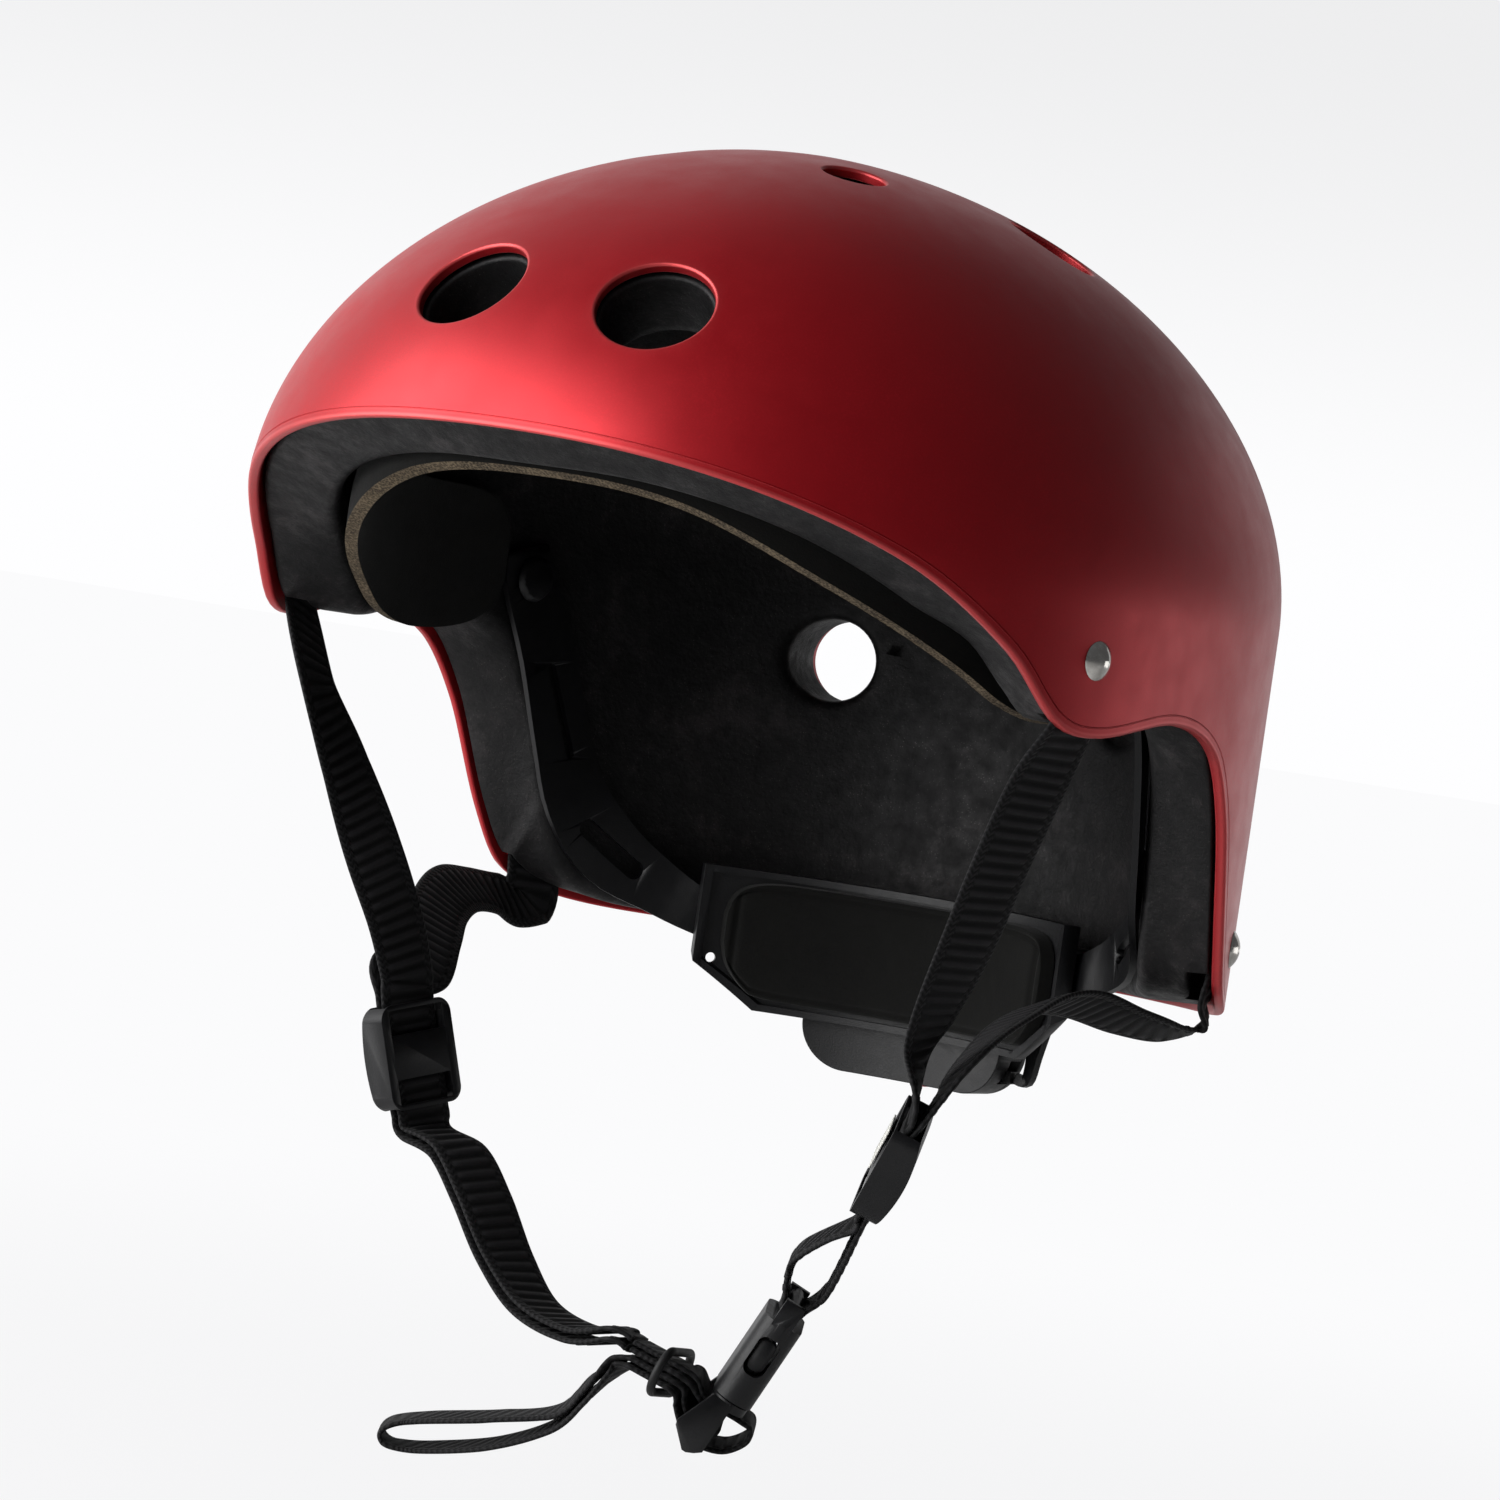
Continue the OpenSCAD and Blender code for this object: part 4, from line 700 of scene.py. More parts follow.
low, low_in = liner_edge(liner_columns)
liner = Skin()
outer_rows = sheet(liner, liner_columns, low + outer_edge_h, liner_outside, 72, True)
middle = len(liner.points)
inner_rows = sheet(liner, liner_columns, low_in + inner_edge_h, liner_in, 60, False)
cut_vents(liner, [(0, middle), (middle, len(liner.points))], liner_out, liner_in, narrower=1.5,
          outer_round=1.0, inner_round=3.0, count=48)
foot_out = wall(liner_columns, low, liner_outside(liner_columns, low))
foot_in = wall(liner_columns, low_in, liner_in)
inwards = unit(foot_in - foot_out)
up_out = up_the_wall(wall(liner_columns, low, liner_out), wall_out(foot_out, liner_out))
up_in = up_the_wall(foot_in, wall_out(foot_in, liner_in))
under = []
for t in coarse_turns:
    s, c = sine_cosine(t)
    under.append(foot_out + up_out * foot_round * (1 - s) + inwards * foot_round * (1 - c))
gap = foot_in - inwards * inner_foot_round - under[-1]
under += [under[-1] + gap * share for share in (0.2, 0.4, 0.6, 0.8)]
for t in fine_turns:
    s, c = sine_cosine(t)
    under.append(foot_in + up_in * inner_foot_round * (1 - c) - inwards * inner_foot_round * (1 - s))
liner.rings([outer_rows[-1]] + [liner.ring(p, p * 0) for p in under] + [inner_rows[-1]])
liner_piece = liner.piece("liner_bead_foam", bead_foam, own_normals=False)
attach(liner_piece, "helmet")
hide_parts("eps_liner")
print("liner:", len(liner_piece.data.polygons), "faces")

# %% [markdown]
# ## Knit, raw foam, webbing, metal and plastics
# Each remaining finish gets its own scale of detail: yarns of half a millimetre on the knit, pores on the cut foam,
# ribs every 3 mm between chevron selvedges on the nylon, fine marks on the rivets, and a spark-eroded grain on the
# plastics.

# %% Knit and foam of the pads
# Brushed knit laminated to the pads
knit, shader, tree, where = new_finish("brushed_knit_over_pad_foam", {
    "Sheen Weight": 0.06, "Sheen Roughness": 0.5, "Specular IOR Level": 0.08})
nap = noise(tree, where, 0.55, 4.0, 0.7)
yarns = ramp(tree, weighed(tree, nap, 0.6, noise(tree, where, 14), 0.4), [
    (0.25, "0A0A0A"), (0.55, "121211"), (0.85, "21201E")])
painted(tree, shader, yarns, remap(tree, nap, 0.2, 0.8, 0.82, 0.98), (noise(tree, where, 6.0, 2.0), 0.12), (nap, 0.09))

# Cut edge of open-cell pad foam, olive beige; its pores are painted darker as shade in the holes
raw_foam, shader, tree, where = new_finish("cut_edge_of_open_cell_foam", {"Specular IOR Level": 0.15})
pores = cells(tree, where, 0.55)
yellowing = remap(tree, noise(tree, where, 9), 0.3, 0.7, -0.12, 0.12)
# Painted shade: the ramp darkens the colour towards each pore's middle, where the bump is deepest
beige_with_painted_pore_shade = ramp(tree, maths(tree, "ADD", pores, yellowing), [(0.1, "211C16"), (0.45, "463D31"), (0.8, "665A49")])
painted(tree, shader, beige_with_painted_pore_shade, remap(tree, pores, 0.0, 0.7, 0.99, 0.86), (pores, 0.12))

# Hook tape: a field of little stems, painted lighter on their tops and darker between them as highlight and shade
hook_tape, shader, tree, where = new_finish("moulded_hook_tape", {"Specular IOR Level": 0.3})
stems = cells(tree, where, 0.8, "F1", 0.35)
# Painted highlight and shade: the stems' tops are lighter and the gaps between them darker
painted(tree, shader, ramp(tree, stems, [(0.1, "2A2A2C"), (0.5, "111112")]),
        remap(tree, stems, 0.0, 0.6, 0.45, 0.8), (maths(tree, "SUBTRACT", 1.0, stems), 0.3))
print("finishes:", knit.name, raw_foam.name, hook_tape.name)

# %% Woven nylon webbing and label cloth
# Ribs across the middle of the strap, and a fine chevron along both selvedges; their grooves are painted darker as
# shade
web_w, rib_pitch, selvedge_from, chevron_pitch, chevron_w = 15.0, 3.0, 5.2, 1.5, 0.8
nylon, shader, tree, where = new_finish("woven_black_nylon_webbing", {
    "Sheen Weight": 0.04, "Sheen Roughness": 0.4, "Specular IOR Level": 0.2})
along_strap, across_strap = (add(tree, "ShaderNodeAttribute", attribute_name=name).outputs["Fac"]
                             for name in ("along", "across"))
edge_share = remap(tree, maths(tree, "ABSOLUTE", across_strap), selvedge_from - 0.2, selvedge_from + 0.2)
rib_wave = maths(tree, "COSINE", maths(tree, "MULTIPLY", along_strap, 2 * math.pi / rib_pitch))
slanted = maths(tree, "ADD", along_strap, maths(tree, "PINGPONG", across_strap, chevron_w))
chevron_wave = maths(tree, "SINE", maths(tree, "MULTIPLY", slanted, 2 * math.pi / chevron_pitch))
rib_relief_and_painted_shade = add(tree, "ShaderNodeMix", {
    0: edge_share, 2: remap(tree, rib_wave, -1, 0.6), 3: remap(tree, chevron_wave, -1, 1)}, data_type="FLOAT")
fuzz = noise(tree, where, 0.35, 3.0, 0.7)
dust = noise(tree, where, 18, 3.0, 0.6)
# Painted shade: the ramp darkens the rib troughs and chevron grooves below the crests; the dust noise is real tone
weave = ramp(tree, weighed(tree, rib_relief_and_painted_shade, 0.6, dust, 0.4), [(0.2, "030304"), (0.5, "0B0B0C"), (0.85, "1A191B")])
painted(tree, shader, weave, remap(tree, fuzz, 0.2, 0.8, 0.62, 0.85), (rib_relief_and_painted_shade, 0.12), (fuzz, 0.05))

# White label cloth: a plain weave of fine yarns, left bare; the gaps between the yarns are painted darker as shade
label_cloth, shader, tree, where = new_finish("bare_white_label_cloth", {
    "Sheen Weight": 0.2, "Specular IOR Level": 0.25})
warp, weft = (add(tree, "ShaderNodeTexWave", {"Vector": where, "Scale": per_mm(2.2), "Distortion": 0.5},
                  bands_direction=axis).outputs["Fac"] for axis in "XZ")
plain = maths(tree, "MULTIPLY", warp, weft)
# Painted shade: the ramp darkens the low gaps where warp and weft both dip
painted(tree, shader, ramp(tree, plain, [(0.0, "B9B8B2"), (0.6, "D9D8D3")]),
        remap(tree, noise(tree, where, 3), 0.3, 0.7, 0.75, 0.9), (plain, 0.05))
print("finishes:", nylon.name, label_cloth.name)

# %% Metals and plastics
# Polished steel of the rivets, with faint marks and fingerprints
polished, shader, tree, where = new_finish("polished_stainless_steel", {"Metallic": 1.0})
smears = noise(tree, where, 2.2, 4.0, 0.6)
painted(tree, shader, ramp(tree, smears, [(0.3, "B9B5AF"), (0.7, "D5D2CD")]),
        remap(tree, smears, 0.3, 0.7, 0.1, 0.2), (noise(tree, where, 0.3, 2.0), 0.004))

# Zinc-plated steel of washers and screws
zinc, shader, tree, where = new_finish("zinc_plated_steel", {"Metallic": 1.0})
spangle = cells(tree, where, 0.9)
painted(tree, shader, ramp(tree, spangle, [(0.1, "8F9296"), (0.7, "B4B6B9")]),
        remap(tree, spangle, 0.0, 0.8, 0.3, 0.48), (spangle, 0.01))


def moulded(name, dark, plain, light, grain, shine):
    """Moulded plastic: a spark-eroded grain, a faint flow mottle and slightly rubbed high spots."""
    material, shader, tree, where = new_finish(name, {"Specular IOR Level": 0.3})
    pebbles = cells(tree, where, grain)
    rub = noise(tree, where, 2.5, 5.0, 0.65)
    flow = noise(tree, where, 12, 4.0, 0.6)
    mottle = ramp(tree, weighed(tree, flow, 0.6, rub, 0.4), [(0.3, dark), (0.52, plain), (0.78, light)])
    rubbed = remap(tree, rub, 0.3, 0.7, shine - 0.05, shine + 0.06)
    painted(tree, shader, mottle, weighed(tree, pebbles, 0.05, rubbed), (pebbles, 0.018))
    return material


black_plastic = moulded("grained_black_acetal", "070709", "0C0C0E", "161619", 0.5, 0.42)
arm_plastic = moulded("smooth_black_polyamide", "060608", "0A0A0C", "131316", 0.35, 0.36)
natural_acetal = moulded("natural_acetal", "D3CDBB", "E0DBCB", "EAE6DA", 0.5, 0.35)
dial_plastic = moulded("satin_red_abs", "8A0A16", "A20E1C", "B41E2A", 0.5, 0.38)
elastic = moulded("black_rubber_elastic", "0A0A0B", "101011", "1B1B1D", 0.8, 0.55)
print("materials:", len(bpy.data.materials))

# %% [markdown]
# ## Padded pieces
# Two pads are swelled by a cloth simulation: the face is pinned along its edge and air pressure blows it out, so the
# knit is tight at the seam and full in the middle. The brow pad is a long thin band whose section hardly changes, so it
# is laid out from the dome's formula, with a bare cut edge of foam all round, as on a die-cut pad.

# %% From sheets to pads
def grid_faces(first, rows, cols, closed=False, turned=False):
    """Faces between the rows of a grid whose points are numbered from first."""
    faces = []
    for i in range(rows - 1):
        for j in range(cols if closed else cols - 1):
            a, b = first + i * cols + j, first + i * cols + (j + 1) % cols
            faces.append((a, b, b + cols, a + cols)[::-1 if turned else 1])
    return faces


def edge_walls(points, ring, size, edge_rows):
    """Joins a ring of the front sheet to the same ring of the back one in edge_rows steps; adds points, gives faces."""
    n, walls, last = len(ring), [], ring
    for step in range(1, edge_rows + 1):
        here = [v + size for v in ring]
        if step < edge_rows:
            share, first = step / edge_rows, len(points)
            here = list(range(first, first + n))
            points += [points[v] * (1 - share) + points[v + size] * share for v in ring]
        walls += [(last[k], here[k], here[(k + 1) % n], last[(k + 1) % n]) for k in range(n)]
        last = here
    return walls


def long_pad(front, back, edge_rows):
    """Points, faces and walls of a pad from two grids of the same size."""
    rows, cols = front.shape[:2]
    points = [*front.reshape(-1, 3), *back.reshape(-1, 3)]
    size = rows * cols
    faces = grid_faces(0, rows, cols) + grid_faces(size, rows, cols, turned=True)
    border = ([(0, j) for j in range(cols)] + [(i, cols - 1) for i in range(1, rows)]
              + [(rows - 1, j) for j in range(cols - 2, -1, -1)] + [(i, 0) for i in range(rows - 2, 0, -1)])
    return points, faces, edge_walls(points, [i * cols + j for i, j in border], size, edge_rows)


def round_pad(front, back, edge_rows):
    """Points, faces and walls of a pad from two sheets of rings round a middle."""
    rings, spokes = front.shape[:2]
    points = [*front.reshape(-1, 3), *back.reshape(-1, 3)]
    size = rings * spokes
    faces = grid_faces(0, rings, spokes, closed=True) + grid_faces(size, rings, spokes, closed=True, turned=True)
    for first, order in ((0, 1), (size, -1)):
        faces += [(len(points), first + j, first + (j + 1) % spokes)[::order] for j in range(spokes)]
        points.append(np.mean(points[first:first + spokes], 0))
    return points, faces, edge_walls(points, list(range(size - spokes, size)), size, edge_rows)


def turned_outwards(mesh, is_sharp=None):
    """Turns every face outwards and, with a test for edges, marks the sharp ones."""
    work = bmesh.new()
    work.from_mesh(mesh)
    bmesh.ops.recalc_face_normals(work, faces=work.faces)
    for edge in work.edges if is_sharp else ():
        edge.smooth = not is_sharp(edge)
    work.to_mesh(mesh)
    work.free()


def solid_piece(name, points, faces, walls, face_finish, wall_finish):
    piece = mesh_piece(name, np.array(points) * mm, faces + walls, face_finish)
    piece.data.materials.append(wall_finish)
    for polygon in piece.data.polygons[len(faces):]:
        polygon.material_index = 1
    turned_outwards(piece.data, lambda edge: len({face.material_index for face in edge.link_faces}) > 1)
    return piece


def bulge(u, v):
    """A cushion's height over a grid: 1 in the middle and 0 along all four edges."""
    return np.sqrt(1 - np.abs(u) ** 4) * np.sqrt(1 - np.abs(v) ** 3)


def rounded_end(s, power):
    """How wide a band is towards its ends; a high power keeps the corners small."""
    return np.maximum(1 - np.abs(s) ** power, 0.02) ** (1 / 3)


print("a bulge of", float(bulge(0.5, 0.5).round(2)), "halfway out")

# %% Brow pad
brow_half, brow_pad_t, brow_pad_h, pad_gap = 105.5, 3.6, 37.0, 2.0
face_inside_edge, back_shorter = (0.998, 0.985), (0.985, 0.9)
brow_low_keys = [(0, 12), (20, 9), (40, -4), (61, -18.5), (71, -25.5), (82, -28.5), (115, -27)]
brow_height_keys = [(0, 0.6), (40, 0.85), (70, 1), (180, 1)]


def brow_sheet(s, v, lift):
    """Points of the pad at shares along and across it, lifted from its back."""
    a = brow_half * s
    low = curve(brow_low_keys, np.abs(a))
    high = low + brow_pad_h * curve(brow_height_keys, np.abs(a))
    low, high = turn_of(low, liner_in), turn_of(high, liner_in)
    turn = (low + high) / 2 + (low - high) / 2 * rounded_end(s, 14) * v
    inset = liner_in + pad_gap + lift
    return wall(a, height_of(turn, inset), inset)


# The knit face stops just inside the cut edge. The back is shorter than the face, because the pad is cut flat and
# bent, so the cut edge slants outwards and shows below the liner's lip
s, v = np.meshgrid(np.linspace(-1, 1, 241), np.sin(np.linspace(-1, 1, 27) * math.pi / 2))
face_s, face_v = s * face_inside_edge[0], v * face_inside_edge[1]
front = brow_sheet(face_s, face_v, brow_pad_t * (0.74 + 0.26 * bulge(face_s, face_v)))
behind = brow_sheet(s * back_shorter[0], v * back_shorter[1], 0.0)
brow_piece = solid_piece("brow_pad_knit", *long_pad(front, behind, edge_rows=3), knit, raw_foam)
print(brow_piece.name, len(brow_piece.data.polygons), "faces")

# %% Cloth pressure
cloth_frames, air_pressure = 20, 4


def blow_up(piece, pinned, cap):
    """Swells a pad by cloth pressure from its pinned edge and keeps every point within the cap in millimetres."""
    group = piece.vertex_groups.new(name="seam")
    group.add(pinned, 1.0, "REPLACE")
    rest = np.array([v.co for v in piece.data.vertices])
    cloth = piece.modifiers.new("pressure", "CLOTH")
    cloth.settings.use_pressure = True
    cloth.settings.uniform_pressure_force = air_pressure
    cloth.settings.effector_weights.gravity = 0
    cloth.settings.vertex_group_mass = "seam"
    cloth.point_cache.frame_end = cloth_frames
    for step in range(1, cloth_frames + 1):
        scene.frame_set(step)
    swollen = bpy.data.meshes.new_from_object(piece.evaluated_get(bpy.context.evaluated_depsgraph_get()))
    moved = np.array([v.co for v in swollen.vertices]) - rest
    piece.modifiers.remove(cloth)
    scene.frame_set(1)
    far = np.linalg.norm(moved, axis=1, keepdims=True)
    moved *= np.minimum(1, cap * mm / np.maximum(far, 1e-9))
    for vert, place in zip(piece.data.vertices, rest + moved):
        vert.co = place
    piece.vertex_groups.clear()
    print(piece.name, "swelled by up to", round(float(np.minimum(far, cap * mm).max()) / mm, 2), "mm")


def dome_height(x, y, inset):
    """The dome's height over a place in plan."""
    length = np.where(y < 0, front_l, rear_l) - inset
    q = ((np.abs(x) / (half_w - inset)) ** plan_n + (np.abs(y) / length) ** plan_n) ** (side_n / plan_n)
    return (crown_h - inset) * np.maximum(1 - q, 0) ** (1 / side_n)


print("the dome is", float(dome_height(0.0, 0.0, liner_in)), "mm high inside the liner")

# %% Crown pad
crown_pad_t, crown_pad_l, crown_pad_w, crown_pad_y = 5.0, 78.0, 40.0, 12.0
crown_edge_share, crown_middle_share = 0.62, 0.2  # how thick the pad is laid out before the cloth swells it
crown_rings, crown_spokes, first_seam_ring = 18, 96, 15
r, a = np.meshgrid(np.linspace(0.06, 1, crown_rings), np.radians(np.arange(crown_spokes) * 360 / crown_spokes),
                   indexing="ij")
corner = (np.cos(a) ** 4 + np.sin(a) ** 4) ** -0.25


def crown_sheet(lift, shrink=1.0):
    x = shrink * r * corner * np.cos(a) * crown_pad_w / 2
    y = crown_pad_y + shrink * r * corner * np.sin(a) * crown_pad_l / 2
    return np.stack([x, y, dome_height(x, y, liner_in + pad_gap + lift)], -1)


# A stitched seam dips 0.9 mm into both swelled pads, and their faces stop just inside the cut edge
seam_deep, face_shrink = 0.9, 0.985
seam_at, seam_wide = 0.86, 0.035
seam_line = np.exp(-((r - seam_at) / seam_wide) ** 2)
thickness = crown_pad_t * (crown_edge_share + crown_middle_share * (1 - r ** 4)) - seam_deep * seam_line
front = crown_sheet(thickness, face_shrink)
crown_piece = solid_piece("crown_pad_knit", *round_pad(front, crown_sheet(0 * r), edge_rows=2), knit, raw_foam)
pinned = range(first_seam_ring * crown_spokes, len(crown_piece.data.vertices))
blow_up(crown_piece, list(pinned), cap=1.0)
print(crown_piece.name, len(crown_piece.data.polygons), "faces")

# %% Nape pad
band_r, band_half, band_centre_y, band_top, band_h, nape_pad_t = 76.0, 41.0, 19.7, -73.0, 33.0, 6.0
band_bottom = band_top - band_h
end_gap, top_gap, bottom_gap, back_gap = 4.6, 2.2, 2.7, 0.3  # degrees at the ends, then mm to the edge and the band
rise_from, rise_slope = band_r * 0.5, 0.6  # towards its ends the band's lower edge climbs


def nape_sheet(s, v, lift, shrink=1.0):
    """Points of the pad inside the cradle's raised edge."""
    a = np.radians((band_half - end_gap) * s * shrink)
    climb = np.maximum(0, np.abs(np.sin(a) * band_r) - rise_from) * rise_slope
    top, low = band_top - top_gap, band_bottom + bottom_gap + climb
    r = band_r - back_gap - lift
    return np.stack([r * np.sin(a), band_centre_y + r * np.cos(a),
                     (top + low) / 2 + (top - low) / 2 * rounded_end(s, 10) * v * shrink], -1)


s, v = np.meshgrid(np.linspace(-1, 1, 121), np.sin(np.linspace(-1, 1, 41) * math.pi / 2))
edge_in = np.minimum(1 - np.abs(s), (1 - np.abs(v)) * 0.5)
seam_at, seam_wide, held_edge = 0.05, 0.014, 0.08
seam_line = np.exp(-((edge_in - seam_at) / seam_wide) ** 2)
lift = nape_pad_t * (0.5 + 0.3 * bulge(s, v)) - seam_deep * seam_line
sheets = nape_sheet(s, v, lift, face_shrink), nape_sheet(s, v, 0 * s)
nape_piece = solid_piece("nape_pad_knit", *long_pad(*sheets, edge_rows=2), knit, knit)
pinned = [i for i in range(len(nape_piece.data.vertices)) if i >= s.size or edge_in.flat[i] < held_edge]
blow_up(nape_piece, pinned, cap=1.2)

for piece, node, body in ((brow_piece, "brow_pad", "helmet"), (crown_piece, "crown_pad", "helmet"),
                          (nape_piece, "cradle_pad", "cradle")):
    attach(piece, body)
    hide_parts(node)
print("pads:", [len(p.data.polygons) for p in (brow_piece, crown_piece, nape_piece)], "faces")

# %% [markdown]
# ## Webbing
# Flat webbing can't be draped by the cloth solver without losing its weave, so each strap is swept along a smooth route
# through key places. A key holds a place and the direction across the strap there, so the strap can twist and fold as
# nylon does. The routes are the frame's own, which keeps each strap inside its divider, keeper and buckle.

# %% Frames and routes
web_t, seat = 1.5, 0.3
layer = (web_t + seat) / 2
divider_l, socket_l, bar_r = 24.0, 24.5, 1.5
wrap_r = bar_r + seat + web_t / 2


def along_frame(place, direction, across):
    """Axes of a local frame: across, over and along a strap, and its place."""
    t = unit(np.array(direction, float))
    w = unit(np.array(across, float) - np.dot(across, t) * t)
    return np.array([w, np.cross(t, w), t]), np.array(place, float)


def local(frame_axes, x, y, z):
    axes, place = frame_axes
    return place + x * axes[0] + y * axes[1] + z * axes[2]


left_side, right_side = (-0.515, 0.857, 0), (0.3, 0.95, 0)
left_divider = along_frame((61.8, -11.4, -125), (-14, 6, -25), left_side)
right_divider = along_frame((-68, -8.6, -122.6), (6, 3.5, -24), right_side)
buckle = along_frame((27.2, -5.9, -182.85), (9.8, 3.1, 21), (0.515, -0.857, 0))
keeper_side = (-0.3, 0.95, -0.1)
keeper = along_frame((14.8, -13.4, -180.55), (22, 6, -7.5), keeper_side)
tail_side = (-0.515, 0.857, 0)


def left(x, y, z):
    return local(left_divider, x, y, z), left_side


def right(x, y, z):
    return local(right_divider, x, y, z), right_side


def bar(y, z, turned=1):
    return local(buckle, 0, y, z), turned * buckle[0][0]


def kept(x, y, z):
    return local(keeper, x, y, z), keeper_side


def down_the_wall(rivet, hand, foot):
    """Keys between shell and liner, from above a rivet to below the shell's edge."""
    keys = []
    for z, ease in ((rivet[1] + 8, 0), (rivet[1] - 2, 0), (foot + 8, 0.1), (foot + 2, 0.9)):
        out = wall_out(wall(hand * rivet[0], z, 0))
        p = wall(hand * rivet[0], min(z, 0), 0) - out * (shell_t + 2 * seat + ease + web_t / 2)
        keys.append((p, unit(np.array([-hand * out[1], hand * out[0], 0]))))
    return keys


front_rivet, rear_rivet = rivets
half = divider_l / 2
bar_y, bar_z = -1.2, -8.2
split = -9
outer_r = wrap_r + 2 * layer + 0.4
strap_routes = {
    "front_strap_left": down_the_wall(front_rivet, 1, lobe_z) + [
        ((93.2, -28, -38.3), (0.48, 0.88, 0)), ((84.3, -23.5, -57.5), (0.45, 0.89, 0)),
        ((76.3, -19, -76.6), (0.4, 0.92, 0)), ((69.6, -16.5, -92.3), (0.15, 0.99, 0)),
        ((66.2, -15, -102), (-0.2, 0.98, 0)),
        left(0, -layer - 0.9, -half - 3), left(0, -layer - 0.15, -10), left(0, -layer, -seat)],
    "rear_strap_left": down_the_wall(rear_rivet, 1, nape_z + 3) + [
        ((90.9, 69, -89.5), (-0.5, 0.8, -0.1)), ((85, 66, -92), (-0.75, 0.5, -0.3)),
        ((77.2, 59, -91), (-0.7, 0.4, -0.4)), ((71.8, 47, -88.2), (-0.8, 0.25, -0.45)),
        ((69.3, 33.5, -88.8), (-0.85, 0, -0.4)), ((69.9, 19, -92.6), (-0.85, 0.1, -0.35)),
        ((71, 4.4, -98.6), (-0.75, 0.45, -0.3)), ((72.5, -8.5, -105.5), (-0.6, 0.75, -0.1)),
        left(0, layer + 0.8, -half - 1), left(0, layer + 0.1, -8.5), left(0, layer, -seat)],
    "front_strap_right": down_the_wall(front_rivet, -1, lobe_z) + [
        ((-89.3, -36, -41.5), (-0.08, 0.99, 0)), ((-82.6, -30, -59.5), (0.2, 0.97, 0)),
        ((-77.5, -22, -77.4), (0.42, 0.9, 0)), ((-73.4, -15.5, -92), (0.36, 0.93, 0)),
        ((-70.8, -11.5, -104), (0.3, 0.95, 0)),
        right(0, layer + 0.6, -half - 3), right(0, layer, -9), right(0, layer, -seat)],
    "rear_strap_right": down_the_wall(rear_rivet, -1, nape_z + 4) + [
        ((-91, 66.5, -88), (0.55, 0.75, -0.3)), ((-91, 58, -88.6), (0.6, 0.25, -0.75)),
        ((-92, 48, -86.8), (0.75, 0, -0.62)), ((-91, 36, -86.5), (0.78, 0.1, -0.62)),
        ((-87, 24, -89.6), (0.75, 0.3, -0.55)), ((-80.5, 12, -95.5), (0.6, 0.7, -0.3)),
        ((-74.8, 1, -103), (0.4, 0.9, -0.1)), right(1.6, -layer - 2.2, -half - 6),
        right(0, -layer - 0.1, -half - 1.5), right(0, -layer, -7), right(0, -layer, -seat)],
    "chin_strap_left": [(local(left_divider, 0, -layer, z), (0.515, -0.857, 0)) for z in (seat, 10, 15, 18.5)]
        + [bar(-5.4, socket_l + 9)]
        + [bar(-wrap_r * math.cos(t), socket_l - wrap_r * math.sin(t)) for t in np.radians(range(0, 181, 45))]
        + [bar(4.4, socket_l + 7)]
        + [(local(left_divider, 0, layer, z), (0.515, -0.857, 0)) for z in (18.5, 15, 10, seat)],
    "chin_strap_right": [right(0, 0, z) for z in (seat, 9, half + 1.5)] + [
        right(0, 1, half + 6), ((-52.6, -7.4, -142.8), (0.4, 0.9, 0)), ((-43.8, -8.9, -151.6), (0.4, 0.9, 0)),
        ((-34.3, -10.3, -163.8), (0.3, 0.95, 0)), ((-23.1, -12.9, -172.9), (0.1, 0.99, 0)),
        ((-9.2, -15, -176.2), (-0.1, 0.99, 0))]
        + [kept(0, 2 * layer, z) for z in (split - 5, split - 2, split - 2 * seat)],
    "tail_strap": [kept(0, layer, z) for z in (split, -4, 3)] + [kept(0.9, layer - 0.7, 6)]
        + [bar(bar_y + wrap_r * math.sin(t), bar_z + wrap_r * math.cos(t), -1)
           for t in np.radians(range(-10, 191, 40))]
        + [kept(2.2, -4.6, 7.5), kept(0.25, -layer - 0.2, 4.4)] + [kept(0, -layer, z) for z in (3, -4, -7.5)]
        + [kept(0.2, -layer - 0.7, -10), kept(0.7, -layer - 2.4, -11.9)]
        + [(p, tail_side) for p in ((-3.8, -16.1, -186.35), (-12, -15.8, -194.05), (-26, -18.5, -197.85),
            (-44, -19.3, -201.55), (-50.5, -21.8, -203.55), (-52.6, -22.8, -206.15), (-50, -21.8, -208.35),
            (-42, -19.3, -207.85), (-25, -18.5, -203.75), (-12, -16.3, -197.55), (-4, -16.05, -189.55))]
        + [kept(1, -3 * layer - 1.5, -10.3), kept(0.6, -3 * layer - 0.45, -9.1)]
        + [kept(0, -3 * layer, z) for z in (-7.5, -4, 2.2)]
        + [kept(0.3, -3 * layer - 0.4, 3.4), kept(2, -6.2, 6.1)]
        + [bar(y, z, -1) for y, z in ((-3.5, bar_z - outer_r), (0.6, bar_z - outer_r), (5.2, bar_z - 2.8),
            (8, bar_z + 1.4), (7.2, bar_z + 4.4), (4.2, bar_z + outer_r), (-3.4, bar_z + outer_r))]
        + [kept(0.9, 3 * layer - 0.5, 6)] + [kept(0, 3 * layer, z) for z in (3, -4, split)],
}
print("routes:", {name: len(keys) for name, keys in strap_routes.items()}, "keys")

# %% [markdown]
# A strap's section is a flat loop of 32 points with rounded selvedges. The cross ribs follow the strap, so they are
# made by geometry nodes: the tree reads how far along and across the strap each point lies, and lifts the ribs from
# it. Modelled ribs catch the light at the strap's outline too, which a bump map can't do.

